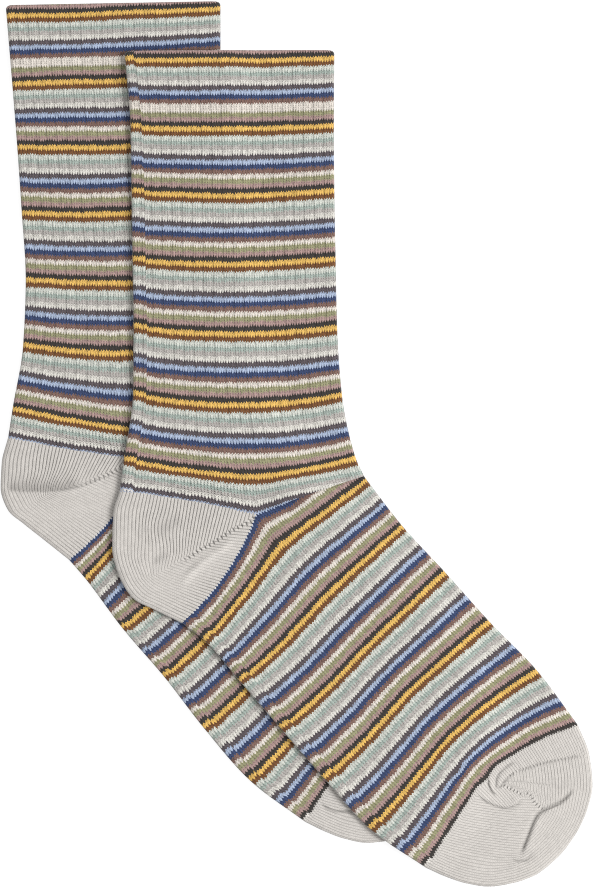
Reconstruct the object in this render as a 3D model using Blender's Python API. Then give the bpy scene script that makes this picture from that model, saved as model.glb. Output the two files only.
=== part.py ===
"""A pair of striped crew socks, laid flat with one sock lying across the other.

Each sock is a knitted tube pressed flat: a double welt at the cuff, a ribbed leg, a heel pocket
on the back half of the stitches, a plain foot and a rounded toe. Every piece is an open cloth
wall with a thin hollow between its two faces, and is its own named solid.

Lengths in this file are millimetres until add_piece turns them into Blender's metres. A place
on the cloth is a course (a row of stitches, counted from the cuff) and a wale (a column of
stitches, counted from the fold at the back of the leg and under the foot to the fold at the
shin and over the toes). X is across the leg, +Y runs up the leg to the cuff, +Z is up.
"""

import math
from collections import namedtuple

import bpy
import numpy as np

# Cloth
WALL = 1.0              # one face of plain knit
WELT_WALL = 1.3         # the welt is knitted double
HOLLOW = 0.4            # left between the two faces of a sock pressed flat
SEAM_GAP = 0.3          # between neighbouring pieces, and between the two socks
HEIGHT = 2 * WALL + HOLLOW
WELT_HEIGHT = 2 * WELT_WALL + HOLLOW

MM = 0.001              # Blender's metres in a millimetre

# Knit
FACE_WALES = 80         # wales on one face, from fold to fold
GORE_WALE = 40          # the heel takes the wales from the back fold to here
RIB_WALES = 4           # three wales of crown and one of groove
RIB_CROWN = (0.2, 3.0)  # where a rib's crown starts and ends, in wales
RIB_GROOVE = 3.6        # where its groove is
RIB_DEPTH = 0.25
FOLD_CLEAR = 0.4        # wales kept plain beside each fold
LEG_RIB_FADE = (150, 182)

# Rings: the courses at which each piece is given points
WELT_END = 27
WELT_RINGS = ((0.0, 0.8), (0.7, 1.0), (14, 1.0), (WELT_END, 1.0))   # course, share of thickness
LEG_RINGS = (WELT_END, 50, 80, 110, 135, 152, 165, 174, 182, 188)
FOOT_RINGS = (189, 193, 198, 206, 216, 230, 244, 258, 272, 286, 295, 304, 313, 322, 331, 341)
TOE_RINGS = (
    (341, 1.0), (347, 1.0), (354, 1.0), (361, 1.0), (367, 1.0), (372, 1.0), (376.5, 0.9), (379, 0.45),
)
HEEL_SPOKES = 14
SPOKE_POINTS = 21
GORE_CLEAR = 0.6        # wales that the heel stops short of its gore

# The fold line of a pressed tube, as wales in from the edge and share of the height
FOLD_OUTSIDE = ((0.25, 0.85), (0.0, 0.5), (0.25, 0.15))
FOLD_INSIDE = ((1.05, 0.56), (0.95, 0.5), (1.05, 0.44))
FLAT_OUTSIDE = 1.0      # wales in from the edge where the outside becomes flat
FLAT_INSIDE = 1.5

# The tuck at the front of the ankle: leg cloth lies over the start of the foot
TUCK_SLACK = 0.1
TUCK_RISE = WALL + SEAM_GAP + TUCK_SLACK
TUCK_WALES = (42, 52)   # the leg's face climbs between these wales
TUCK_COURSES = (168, 186)
TONGUE = 3.0            # how far the foot reaches under the leg
TONGUE_WALES = (52, 60, 72, 76)

# How the upper sock climbs over the edge of the lower one
DRAPE = 18.0            # it reaches the floor this far past that edge
EDGE_CLEARANCE = 1.0

# How many points a ring has across a plain outside, and across an inside or underside
PLAIN_POINTS = 21
LINING_POINTS = 17
FLAT_LINING_POINTS = 13  # enough for the sock that lies flat on the surface

# Shares of the way round a ring: its face, its front fold, its underside and its back fold
ROUND_SHARES = ((0.0, 0.44), (0.46, 0.54), (0.56, 0.92), (0.94, 0.98))

# The outline that the upper sock's drape is measured from
OUTLINE_STEPS = 14
TIP_WALES = (70, 60, 50, 40, 30, 20, 10)
SAME_POINT = 0.01
LOWER_WELT_Y = (139.0, 149.0)   # where the lower sock thickens from leg to welt

Section = namedtuple(
    "Section",
    "course back_x back_y middle_x middle_y front_x front_y back_bow front_bow corner",
)
# A section is one course line across a face. back and front are its ends at the folds, middle is
# its gore wale, and each bow is how far the half line swells beside its chord. corner is 1 where
# the line breaks at the gore and 0 where it runs through smoothly.

UPPER_LEG = (
    Section(0, -68.8, 157.0, -27.0, 157.4, 15.2, 157.6, 0.1, 0.1, 0),
    Section(34, -66.4, 126.6, -25.8, 126.2, 15.0, 127.5, -0.3, -0.2, 0),
    Section(62, -66.0, 100.7, -25.4, 99.4, 15.2, 101.5, -0.2, -0.3, 0),
    Section(90, -65.6, 73.5, -25.0, 72.0, 15.7, 74.2, -0.4, -0.3, 0),
    Section(118, -65.2, 46.7, -24.6, 44.1, 16.3, 46.8, -0.7, -0.7, 0),
    Section(146, -65.4, 19.8, -23.0, 15.7, 18.2, 19.9, -1.1, -1.1, 0),
    Section(174, -69.1, -6.3, -18.2, -12.9, 23.6, -5.2, -0.8, -1.2, 0.2),
    Section(188, -70.7, -18.6, -16.0, -28.0, 27.0, -12.8, 0.7, 0.4, 1),
)
UPPER_FOOT = (
    Section(189, -45.8, -71.6, -16.0, -28.0, 27.0, -12.8, -3.2, 0.4, 1),
    Section(202, -36.6, -78.8, -6.2, -40.4, 27.3, -13.2, -0.6, -0.5, 0.4),
    Section(230, -23.0, -94.4, 10.6, -62.0, 42.4, -32.8, -1.4, 0.3, 0),
    Section(258, -6.6, -113.4, 27.0, -82.2, 59.4, -51.2, -1.3, 0.2, 0),
    Section(286, 10.6, -133.2, 44.2, -99.8, 77.0, -70.8, -1.2, 0.3, 0),
    Section(314, 29.0, -153.6, 61.4, -117.2, 96.4, -90.8, -0.6, 1.4, 0),
    Section(341, 51.8, -169.6, 75.8, -132.8, 112.6, -112.4, 0.5, 2.3, 0),
)
UPPER_TOE = (
    Section(341, 51.8, -169.6, 75.8, -132.8, 112.6, -112.4, 0.5, 2.3, 0),
    Section(350, 59.8, -173.2, 83.0, -140.6, 117.2, -124.4, 0.3, 1.6, 0),
    Section(359, 68.6, -176.0, 90.0, -149.2, 118.5, -136.4, 0.2, 1.0, 0),
    Section(367, 77.4, -177.2, 96.0, -157.0, 116.6, -145.6, 0.1, 0.6, 0),
    Section(374, 87.4, -175.6, 100.4, -163.4, 113.0, -154.0, 0.0, 0.2, 0),
    Section(379, 95.4, -172.8, 102.2, -167.6, 108.2, -161.4, -0.2, -0.2, 0),
)
LOWER_LEG = (
    Section(0, -116.4, 175.6, -73.8, 176.4, -30.4, 177.2, 0.0, 0.0, 0),
    Section(34, -113.8, 144.2, -73.0, 145.3, -30.4, 148.4, 0.2, -0.2, 0),
    Section(62, -111.8, 119.0, -71.0, 119.0, -30.0, 123.0, -0.2, -0.3, 0),
    Section(90, -110.0, 92.8, -69.4, 92.4, -28.6, 96.8, -0.6, -0.3, 0),
    Section(118, -108.4, 66.0, -67.4, 64.6, -27.0, 69.2, -0.5, -0.7, 0),
    Section(146, -109.4, 40.0, -66.2, 36.6, -25.4, 42.8, -1.1, -1.1, 0),
    Section(174, -113.6, 14.4, -63.0, 6.0, -20.6, 18.8, -0.8, -1.2, 0.2),
    Section(188, -115.4, 2.8, -59.8, -6.2, -18.6, 10.4, -1.0, 0.4, 1),
)
LOWER_FOOT = (
    Section(189, -91.0, -46.4, -59.8, -6.2, -18.6, 10.4, -3.2, 0.4, 1),
    Section(202, -84.5, -53.9, -52.6, -16.0, -18.2, 9.2, -0.6, -0.5, 0.4),
    Section(230, -70.2, -73.1, -35.4, -41.2, -2.6, -12.8, -1.4, 0.3, 0),
    Section(258, -53.4, -92.7, -18.6, -61.6, 14.2, -32.0, -1.2, 0.2, 0),
    Section(286, -37.2, -113.6, -2.2, -80.4, 31.0, -52.4, -1.2, 0.3, 0),
    Section(314, -18.8, -134.4, 15.0, -98.4, 50.6, -73.2, -0.6, 1.4, 0),
    Section(341, 3.4, -151.2, 28.2, -114.8, 65.8, -95.6, 0.5, 2.3, 0),
)
LOWER_TOE = (
    Section(341, 3.4, -151.2, 28.2, -114.8, 65.8, -95.6, 0.5, 2.3, 0),
    Section(350, 11.2, -155.0, 35.2, -122.9, 69.8, -107.9, 0.3, 1.6, 0),
    Section(359, 20.0, -158.2, 42.0, -131.7, 70.7, -119.9, 0.2, 1.0, 0),
    Section(367, 28.7, -159.7, 47.8, -139.7, 68.7, -129.0, 0.1, 0.6, 0),
    Section(374, 38.8, -158.4, 52.0, -146.3, 64.8, -137.2, 0.0, 0.2, 0),
    Section(379, 46.8, -155.9, 53.7, -150.6, 59.9, -144.5, -0.2, -0.2, 0),
)

HeelEdge = namedtuple("HeelEdge", "share x y")
# The fold line round the back of the heel, from the end of the leg (share 0) to the start of
# the foot (share 1).
UPPER_HEEL = (
    HeelEdge(0.00, -70.6, -18.6),
    HeelEdge(0.16, -73.2, -28.0),
    HeelEdge(0.34, -73.6, -41.6),
    HeelEdge(0.50, -70.8, -53.0),
    HeelEdge(0.64, -65.0, -62.0),
    HeelEdge(0.80, -57.4, -66.0),
    HeelEdge(1.00, -45.8, -71.6),
)
LOWER_HEEL = (
    HeelEdge(0.00, -115.4, 2.8),
    HeelEdge(0.16, -118.0, -7.6),
    HeelEdge(0.34, -118.4, -17.6),
    HeelEdge(0.50, -115.4, -26.6),
    HeelEdge(0.64, -109.4, -31.8),
    HeelEdge(0.80, -101.8, -37.8),
    HeelEdge(1.00, -91.0, -46.4),
)

Crease = namedtuple("Crease", "start_x start_y bend_x bend_y end_x end_y depth width")
# Soft troughs pressed into the upper sock's top face: a curve from start past bend to end.
CREASE_STEPS = 13
CREASE_FADE = (0.1, 0.9)        # the stretch of a half wave that the depth follows
CREASES = (
    Crease(111.0, -138.0, 99.0, -147.0, 92.0, -163.0, 0.5, 4.5),
    Crease(77.0, -135.0, 83.0, -146.0, 95.0, -141.0, 0.4, 4.0),
    Crease(-52.0, -30.0, -50.0, -38.0, -44.0, -44.0, 0.4, 5.0),
    Crease(-40.0, -52.0, -34.0, -47.0, -27.0, -42.0, 0.4, 5.0),
)

Finish = namedtuple("Finish", "name red green blue roughness")
STRIPED_KNIT = Finish("striped_knit", 0.34, 0.31, 0.27, 0.85)
GREY_KNIT = Finish("grey_knit", 0.63, 0.60, 0.57, 0.88)


def smooth(share):
    """An S-curve from 0 to 1."""
    share = np.clip(share, 0.0, 1.0)
    return share * share * (3 - 2 * share)


def monotone_spline(keys, values, key):
    """The value at a key on a smooth curve through rows of values, with no overshoot."""
    keys = np.asarray(keys, float)
    values = np.asarray(values, float)
    steps = np.diff(keys).reshape((-1,) + (1,) * (values.ndim - 1))
    slopes = np.diff(values, axis=0) / steps
    before, after = slopes[:-1], slopes[1:]
    same_way = before * after > 0
    weight_a = 2 * steps[1:] + steps[:-1]
    weight_b = steps[1:] + 2 * steps[:-1]
    safe_before = np.where(same_way, before, 1.0)
    safe_after = np.where(same_way, after, 1.0)
    harmonic = (weight_a + weight_b) / (weight_a / safe_before + weight_b / safe_after)
    inner = np.where(same_way, harmonic, 0.0)
    tangents = np.concatenate([slopes[:1], inner, slopes[-1:]])
    i = int(np.clip(np.searchsorted(keys, key) - 1, 0, len(keys) - 2))
    step = keys[i + 1] - keys[i]
    t = (key - keys[i]) / step
    return (
        (1 + 2 * t) * (1 - t) ** 2 * values[i]
        + t * (1 - t) ** 2 * step * tangents[i]
        + t * t * (3 - 2 * t) * values[i + 1]
        + t * t * (t - 1) * step * tangents[i + 1]
    )


def five_stations(section):
    """A section's points at its back fold, quarter, gore wale, three quarters and front fold."""
    back = np.array([section.back_x, section.back_y])
    middle = np.array([section.middle_x, section.middle_y])
    front = np.array([section.front_x, section.front_y])

    def halfway(start, end, bow):
        chord = end - start
        beside = np.array([-chord[1], chord[0]]) / math.hypot(*chord)
        return (start + end) / 2 + beside * bow

    return np.array([
        back,
        halfway(back, middle, section.back_bow),
        middle,
        halfway(middle, front, section.front_bow),
        front,
    ])


class Face:
    """The plan of one face of cloth: where each wale of each course lies."""

    def __init__(self, table):
        self.keys = [section.course for section in table]
        self.stations = np.array([five_stations(section) for section in table])
        self.corners = [section.corner for section in table]

    def line(self, course, wales):
        """Plan points of one course line at some wales."""
        p = monotone_spline(self.keys, self.stations, course)
        corner = np.interp(course, self.keys, self.corners)
        through = (p[2:] - p[:-2]) / 2
        from_back = (p[0] - 4 * p[1] + 3 * p[2]) / 2
        from_front = (-3 * p[2] + 4 * p[3] - p[4]) / 2
        leave = [
            (-3 * p[0] + 4 * p[1] - p[2]) / 2,
            through[0],
            through[1] + (from_front - through[1]) * corner,
            through[2],
        ]
        arrive = [
            through[0],
            through[1] + (from_back - through[1]) * corner,
            through[2],
            (p[2] - 4 * p[3] + 3 * p[4]) / 2,
        ]
        spans = np.asarray(wales, float) / FACE_WALES * 4
        index = np.clip(spans.astype(int), 0, 3)
        t = (spans - index)[:, None]
        leave, arrive = np.array(leave)[index], np.array(arrive)[index]
        return (
            (1 + 2 * t) * (1 - t) ** 2 * p[index]
            + t * (1 - t) ** 2 * leave
            + t * t * (3 - 2 * t) * p[index + 1]
            + t * t * (t - 1) * arrive
        )

    def moved_line(self, course, wales, distance):
        """A course line moved square to itself, towards the toe."""
        wales = np.asarray(wales, float)
        half_step = 0.5
        along = (
            self.line(course, np.minimum(wales + half_step, FACE_WALES))
            - self.line(course, np.maximum(wales - half_step, 0))
        )
        along /= np.linalg.norm(along, axis=1)[:, None]
        toward_toe = np.stack([along[:, 1], -along[:, 0]], axis=1)
        return self.line(course, wales) + toward_toe * np.asarray(distance).reshape(-1, 1)


def fold_points(face, wale):
    """Plan points along one fold of a piece, from its first course to its last."""
    courses = np.linspace(face.keys[0], face.keys[-1], OUTLINE_STEPS)
    return [face.line(course, [wale])[0] for course in courses]


def lower_outline():
    """The lower sock's outline in plan, as a closed run of points."""
    leg, foot, toe = Face(LOWER_LEG), Face(LOWER_FOOT), Face(LOWER_TOE)
    points = np.array([
        *fold_points(leg, FACE_WALES),
        *fold_points(foot, FACE_WALES),
        *fold_points(toe, FACE_WALES),
        *toe.line(toe.keys[-1], TIP_WALES),
        *reversed(fold_points(toe, 0)),
        *reversed(fold_points(foot, 0)),
        *[np.array([edge.x, edge.y]) for edge in reversed(LOWER_HEEL)],
        *reversed(fold_points(leg, 0)),
    ])
    steps = np.linalg.norm(points - np.roll(points, 1, axis=0), axis=1)
    return points[steps > SAME_POINT]


LOWER_OUTLINE = lower_outline()


def distance_outside(plan, outline):
    """How far each plan point lies outside a closed outline; 0 inside it."""
    start, end = outline, np.roll(outline, -1, axis=0)
    run = end - start
    toward = plan[:, None, :] - start[None]
    share = np.clip((toward * run).sum(2) / (run * run).sum(1), 0, 1)
    distance = np.linalg.norm(toward - share[..., None] * run, axis=2).min(1)
    x, y = plan[:, 0:1], plan[:, 1:2]
    spans = (start[:, 1] > y) != (end[:, 1] > y)
    rise = np.where(run[:, 1] == 0, 1.0, run[:, 1])
    crossing = start[:, 0] + (y - start[:, 1]) / rise * run[:, 0]
    inside = (spans & (x < crossing)).sum(1) % 2 == 1
    return np.where(inside, 0.0, distance)


def floor_under_lower(plan):
    """The lower sock lies on the flat surface."""
    return np.zeros(len(plan))


def floor_under_upper(plan):
    """The upper sock lies on the lower one and comes down past its edge."""
    welt_share = smooth((plan[:, 1] - LOWER_WELT_Y[0]) / (LOWER_WELT_Y[1] - LOWER_WELT_Y[0]))
    on_sock = HEIGHT + SEAM_GAP + (WELT_HEIGHT - HEIGHT) * welt_share
    past_edge = distance_outside(plan, LOWER_OUTLINE) - EDGE_CLEARANCE
    return on_sock * (1 - smooth(past_edge / DRAPE))


def crease_depth(plan):
    """How far the soft creases press the upper face down at each plan point."""
    depth = np.zeros(len(plan))
    for crease in CREASES:
        t = np.linspace(0, 1, CREASE_STEPS)[:, None]
        start = np.array([crease.start_x, crease.start_y])
        bend = np.array([crease.bend_x, crease.bend_y])
        end = np.array([crease.end_x, crease.end_y])
        route = (1 - t) ** 2 * start + 2 * t * (1 - t) * bend + t * t * end
        away = np.linalg.norm(plan[:, None, :] - route[None], axis=2)
        nearest = away.argmin(1) / (CREASE_STEPS - 1)
        fade = np.sin(math.pi * (CREASE_FADE[0] + (CREASE_FADE[1] - CREASE_FADE[0]) * nearest))
        depth = np.maximum(
            depth, crease.depth * fade * (1 - smooth(away.min(1) / crease.width))
        )
    return depth


class Sock:
    """One sock's plan and the surface that it lies on."""

    def __init__(self, name, leg, foot, toe, heel, floor, tucked, lining_points):
        self.name = name
        self.leg, self.foot, self.toe = Face(leg), Face(foot), Face(toe)
        self.heel = heel
        self.floor = floor
        self.tucked = tucked
        self.lining_points = lining_points

    def creases(self, plan):
        """How far the face is pressed down: creases show on the sock that lies on top."""
        return crease_depth(plan) if self.tucked else np.zeros(len(plan))


def outside_wales(ribbed):
    """The wales of the points across a face: three to a rib, or evenly spaced ones."""
    if not ribbed:
        return np.linspace(FLAT_OUTSIDE, FACE_WALES - FLAT_OUTSIDE, PLAIN_POINTS)
    wales = [
        rib + place
        for rib in range(0, FACE_WALES, RIB_WALES)
        for place in (*RIB_CROWN, RIB_GROOVE)
    ]
    first, last = FLAT_OUTSIDE, FACE_WALES - FLAT_OUTSIDE
    inner = [wale for wale in wales if first + FOLD_CLEAR < wale < last - FOLD_CLEAR]
    return np.array([first, *inner, last])


def rib_drop(wales):
    """How far the face drops at each wale: all the way in a rib's groove."""
    return np.where(np.isclose(np.mod(wales, RIB_WALES), RIB_GROOVE), RIB_DEPTH, 0.0)


def no_rise(wales):
    """Nothing at any wale."""
    return np.zeros(len(wales))


def ring(sock, face, course, height, wall, *, ribs=0.0, ribbed=False, rise=no_rise,
         shift=0.0, inside_shift=None, tongue=no_rise, flatten=1.0):
    """The outside and inside loops of a flattened tube along one course line.

    shift moves the line toward the toe, and inside_shift does so for the inside alone. rise
    lifts the upper face at each wale, tongue draws it back toward the leg, and flatten thins the
    whole ring where a toe closes.
    """
    height, wall = height * flatten, wall * flatten

    def loop(face_wales, under_wales, fold, top, under, drop, moved):
        fold_in = np.array([inset for inset, _ in fold])
        fold_share = np.array([share for _, share in fold])
        wales = np.concatenate([
            face_wales, FACE_WALES - fold_in, under_wales[::-1], fold_in[::-1]
        ])
        on_face = np.arange(len(wales)) < len(face_wales)
        plan = face.moved_line(course, wales, moved - np.where(on_face, tongue(wales), 0.0))
        level = np.concatenate([
            top + rise(face_wales) - drop,
            fold_share * (height + rise([FACE_WALES])),
            np.full(len(under_wales), under),
            fold_share[::-1] * height,
        ])
        level[on_face] -= sock.creases(plan[on_face]) * flatten
        return np.column_stack([plan, sock.floor(plan) + level])

    face_wales = outside_wales(ribbed)
    under_wales = np.linspace(FLAT_OUTSIDE, FACE_WALES - FLAT_OUTSIDE, sock.lining_points)
    lining = np.linspace(FLAT_INSIDE, FACE_WALES - FLAT_INSIDE, sock.lining_points)
    drop = rib_drop(face_wales) * ribs if ribbed else 0.0
    outside = loop(face_wales, under_wales, FOLD_OUTSIDE, height, 0.0, drop, shift)
    inside_shift = shift if inside_shift is None else inside_shift
    inside = loop(lining, lining, FOLD_INSIDE, height - wall, wall, 0.0, inside_shift)
    return outside, inside


def strip_faces(first, second):
    """Quads between two loops of point numbers that have the same count."""
    count = len(first)
    return [
        (first[i], first[(i + 1) % count], second[(i + 1) % count], second[i])
        for i in range(count)
    ]


def zipped_faces(outer, inner, outer_places, inner_places, closed):
    """Triangles that join two runs of point numbers of unlike counts, in order of their places."""
    if closed:
        outer, inner = list(outer) + [outer[0]], list(inner) + [inner[0]]
        outer_places = list(outer_places) + [outer_places[0] + 1]
        inner_places = list(inner_places) + [inner_places[0] + 1]
    faces = []
    i = j = 0
    while i < len(outer) - 1 or j < len(inner) - 1:
        take_outer = j == len(inner) - 1 or (
            i < len(outer) - 1 and outer_places[i + 1] <= inner_places[j + 1]
        )
        if take_outer:
            faces.append((outer[i], outer[i + 1], inner[j]))
            i += 1
        else:
            faces.append((outer[i], inner[j + 1], inner[j]))
            j += 1
    return faces


def places_round(face_count, under_count):
    """Each ring point's share of the way round, so that unlike loops meet at their folds."""
    counts = (face_count, len(FOLD_OUTSIDE), under_count, len(FOLD_OUTSIDE))
    runs = [np.linspace(*ends, count) for ends, count in zip(ROUND_SHARES, counts)]
    return np.concatenate(runs)


def wall_mesh(rings, closed_end, counts):
    """Points and faces of an open tube with a wall, from its rings.

    counts gives the points across the outside face, across the outside underneath, and across
    each inside face. A closed end is zipped shut along the last ring.
    """
    points, faces = [], []
    outer_rows, inner_rows = [], []
    for outside, inside in rings:
        outer_rows.append(list(range(len(points), len(points) + len(outside))))
        points.extend(map(tuple, outside))
        inner_rows.append(list(range(len(points), len(points) + len(inside))))
        points.extend(map(tuple, inside))
    for first, second in zip(outer_rows, outer_rows[1:]):
        faces += [tuple(reversed(face)) for face in strip_faces(first, second)]
    for first, second in zip(inner_rows, inner_rows[1:]):
        faces += strip_faces(first, second)
    face_count, under_count, lining_count = counts
    outer_places = places_round(face_count, under_count)
    inner_places = places_round(lining_count, lining_count)
    rim = zipped_faces(outer_rows[0], inner_rows[0], outer_places, inner_places, True)
    faces += rim
    if closed_end:
        faces += [tuple(reversed(f)) for f in zipped_shut(outer_rows[-1], face_count)]
        faces += zipped_shut(inner_rows[-1], lining_count)
    else:
        rim = zipped_faces(outer_rows[-1], inner_rows[-1], outer_places, inner_places, True)
        faces += [tuple(reversed(f)) for f in rim]
    return points, faces


def zipped_shut(row, face_count):
    """Faces across a ring's own hollow, from its upper face to its underside."""
    back_tip, front_tip = row[-2], row[face_count + 1]
    upper = [back_tip, row[-1], *row[:face_count], row[face_count], front_tip]
    lower = [back_tip, row[-3], *reversed(row[face_count + 3:-3]), row[face_count + 2], front_tip]
    faces = zipped_faces(
        upper, lower, np.linspace(0, 1, len(upper)), np.linspace(0, 1, len(lower)), False
    )
    return [face for face in faces if len(set(face)) == 3]


def finish_material(finish):
    """A knit finish as a Principled material."""
    material = bpy.data.materials.get(finish.name)
    if material is None:
        material = bpy.data.materials.new(finish.name)
        material.use_nodes = True
        shader = material.node_tree.nodes["Principled BSDF"]
        shader.inputs["Base Color"].default_value = (finish.red, finish.green, finish.blue, 1.0)
        shader.inputs["Roughness"].default_value = finish.roughness
        shader.inputs["Metallic"].default_value = 0.0
    return material


def add_piece(name, points, faces, finish):
    """A named object from points in millimetres, shaded smooth but at its rims."""
    mesh = bpy.data.meshes.new(name)
    mesh.from_pydata([tuple(value * MM for value in point) for point in points], [], faces)
    mesh.validate()
    mesh.shade_smooth()
    mesh.set_sharp_from_angle(angle=math.radians(50))
    piece = bpy.data.objects.new(name, mesh)
    piece.data.materials.append(finish_material(finish))
    bpy.context.scene.collection.objects.link(piece)
    return piece


def end_shift(course, rings):
    """How far a ring moves toward the toe so that a piece stops short of its neighbours."""
    return {rings[0]: SEAM_GAP / 2, rings[-1]: -SEAM_GAP / 2}.get(course, 0.0)


def tuck_rise(course):
    """How far the leg's face is lifted at each wale, over the cloth tucked under it."""
    start, end = TUCK_COURSES
    share = smooth((course - start) / (end - start))

    def rise(wales):
        first, last = TUCK_WALES
        return TUCK_RISE * share * smooth((np.asarray(wales) - first) / (last - first))

    return rise


def tongue_reach(wales):
    """How far the foot's upper face reaches under the leg at each wale."""
    up_start, up_end, down_start, down_end = TONGUE_WALES
    wales = np.asarray(wales)
    up = smooth((wales - up_start) / (up_end - up_start))
    down = smooth((wales - down_start) / (down_end - down_start))
    return TONGUE * up * (1 - down)


def add_welt(sock):
    """The double band at the cuff, rounded over at its top edge."""
    rings = []
    for course, flatten in WELT_RINGS:
        shift = -SEAM_GAP / 2 if course == WELT_END else 0.0
        rings.append(ring(sock, sock.leg, course, WELT_HEIGHT, WELT_WALL,
                          ribs=1.0, ribbed=True, shift=shift, flatten=flatten))
    counts = (len(outside_wales(True)), sock.lining_points, sock.lining_points)
    points, faces = wall_mesh(rings, False, counts)
    return add_piece(f"{sock.name}_welt", points, faces, STRIPED_KNIT)


def add_leg(sock):
    """The ribbed tube from the welt to the heel and the front of the ankle."""
    fade_start, fade_end = LEG_RIB_FADE
    rings = []
    for course in LEG_RINGS:
        shift = end_shift(course, LEG_RINGS)
        ribs = 1 - float(smooth((course - fade_start) / (fade_end - fade_start)))
        rise = tuck_rise(course) if sock.tucked else no_rise
        rings.append(ring(sock, sock.leg, course, HEIGHT, WALL,
                          ribs=ribs, ribbed=True, rise=rise, shift=shift))
    counts = (len(outside_wales(True)), sock.lining_points, sock.lining_points)
    points, faces = wall_mesh(rings, False, counts)
    return add_piece(f"{sock.name}_leg", points, faces, STRIPED_KNIT)


def add_foot(sock):
    """The plain tube from the heel to the toe, with a tongue under the leg's tuck."""
    rings = []
    for course in FOOT_RINGS:
        shift = end_shift(course, FOOT_RINGS)
        tongue = tongue_reach if sock.tucked and course == FOOT_RINGS[0] else no_rise
        rings.append(ring(sock, sock.foot, course, HEIGHT, WALL, shift=shift, tongue=tongue))
    counts = (PLAIN_POINTS, sock.lining_points, sock.lining_points)
    points, faces = wall_mesh(rings, False, counts)
    return add_piece(f"{sock.name}_foot", points, faces, STRIPED_KNIT)


def add_toe(sock):
    """The toe cap, thinned to a rounded edge where it closes."""
    first, last = TOE_RINGS[0][0], TOE_RINGS[-1][0]
    rings = []
    for course, flatten in TOE_RINGS:
        shift = SEAM_GAP / 2 if course == first else 0.0
        inside_shift = -WALL if course == last else shift
        rings.append(ring(sock, sock.toe, course, HEIGHT, WALL,
                          shift=shift, inside_shift=inside_shift, flatten=flatten))
    counts = (PLAIN_POINTS, sock.lining_points, sock.lining_points)
    points, faces = wall_mesh(rings, True, counts)
    return add_piece(f"{sock.name}_toe", points, faces, GREY_KNIT)


def add_heel(sock):
    """The heel pocket: two faces that meet in a fold round the heel and fan out from the gore."""
    shares = [edge.share for edge in sock.heel]
    edge_points = [(edge.x, edge.y) for edge in sock.heel]
    half = np.linspace(0, 1, SPOKE_POINTS)
    top_line = sock.leg.moved_line(LEG_RINGS[-1], half * GORE_WALE, SEAM_GAP / 2)
    foot_line = sock.foot.moved_line(FOOT_RINGS[0], half * GORE_WALE, -SEAM_GAP / 2)

    def swell(line):
        return line - (line[:1] + (line[-1:] - line[:1]) * half[:, None])

    knit_wales = outside_wales(False)
    near_gore = GORE_WALE - GORE_CLEAR
    runs = knit_wales[(knit_wales > FLAT_INSIDE) & (knit_wales < near_gore)]
    across = np.append(runs, near_gore)[::-1] / GORE_WALE    # from the gore out to the fold
    outside_rows, inside_rows = [], []
    for share in np.linspace(0, 1, HEEL_SPOKES):
        fold = monotone_spline(shares, edge_points, share)
        if share == 0:
            fold = top_line[0]
        if share == 1:
            fold = foot_line[0]
        apex = top_line[-1] + (foot_line[-1] - top_line[-1]) * share

        def spoke(places):
            places = np.asarray(places, float)
            straight = fold + (apex - fold) * places[:, None]
            blend = [
                np.interp(places, half, swell(top_line)[:, axis]) * (1 - share)
                + np.interp(places, half, swell(foot_line)[:, axis]) * share
                for axis in (0, 1)
            ]
            return straight + np.column_stack(blend)

        outside_rows.append(hairpin(sock, spoke, across, FOLD_OUTSIDE, FLAT_OUTSIDE, 0.0))
        inside_rows.append(hairpin(sock, spoke, across, FOLD_INSIDE, FLAT_INSIDE, WALL))
    points, faces = hairpin_mesh(outside_rows, inside_rows)
    return add_piece(f"{sock.name}_heel", points, faces, GREY_KNIT)


def hairpin(sock, spoke, across, fold, flat, skin):
    """Points along one spoke of the heel: in on the upper face, round the fold and back below."""
    flat_share = flat / GORE_WALE
    runs = np.append(across, flat_share)
    fold_places = np.array([inset for inset, _ in fold]) / GORE_WALE
    fold_level = np.array([level for _, level in fold]) * HEIGHT
    places = np.concatenate([runs, fold_places, runs[::-1]])
    plan = spoke(places)
    level = np.concatenate([
        np.full(len(runs), HEIGHT - skin), fold_level, np.full(len(runs), skin)
    ])
    level[:len(runs)] -= sock.creases(plan[:len(runs)])
    return np.column_stack([plan, sock.floor(plan) + level])


def hairpin_mesh(outside_rows, inside_rows):
    """Points and faces of a folded sheet with a wall, from the runs along its spokes."""
    points, faces = [], []
    outer, inner = [], []
    for outside, inside in zip(outside_rows, inside_rows):
        outer.append(list(range(len(points), len(points) + len(outside))))
        points.extend(map(tuple, outside))
        inner.append(list(range(len(points), len(points) + len(inside))))
        points.extend(map(tuple, inside))
    last = len(outer[0]) - 1
    for a, b, c, d in zip(outer, outer[1:], inner, inner[1:]):
        for i in range(last):
            faces.append((a[i], a[i + 1], b[i + 1], b[i]))
            faces.append((c[i], d[i], d[i + 1], c[i + 1]))
        faces.append((a[0], b[0], d[0], c[0]))
        faces.append((a[last], c[last], d[last], b[last]))
    for i in range(last):
        faces.append((outer[0][i], inner[0][i], inner[0][i + 1], outer[0][i + 1]))
        faces.append((outer[-1][i], outer[-1][i + 1], inner[-1][i + 1], inner[-1][i]))
    return points, faces


def build():
    """Clear the scene and build both socks."""
    for item in list(bpy.data.objects):
        bpy.data.objects.remove(item, do_unlink=True)
    socks = (
        Sock("lower", LOWER_LEG, LOWER_FOOT, LOWER_TOE, LOWER_HEEL, floor_under_lower,
             False, FLAT_LINING_POINTS),
        Sock("upper", UPPER_LEG, UPPER_FOOT, UPPER_TOE, UPPER_HEEL, floor_under_upper,
             True, LINING_POINTS),
    )
    for sock in socks:
        add_welt(sock)
        add_leg(sock)
        add_heel(sock)
        add_foot(sock)
        add_toe(sock)


build()
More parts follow.
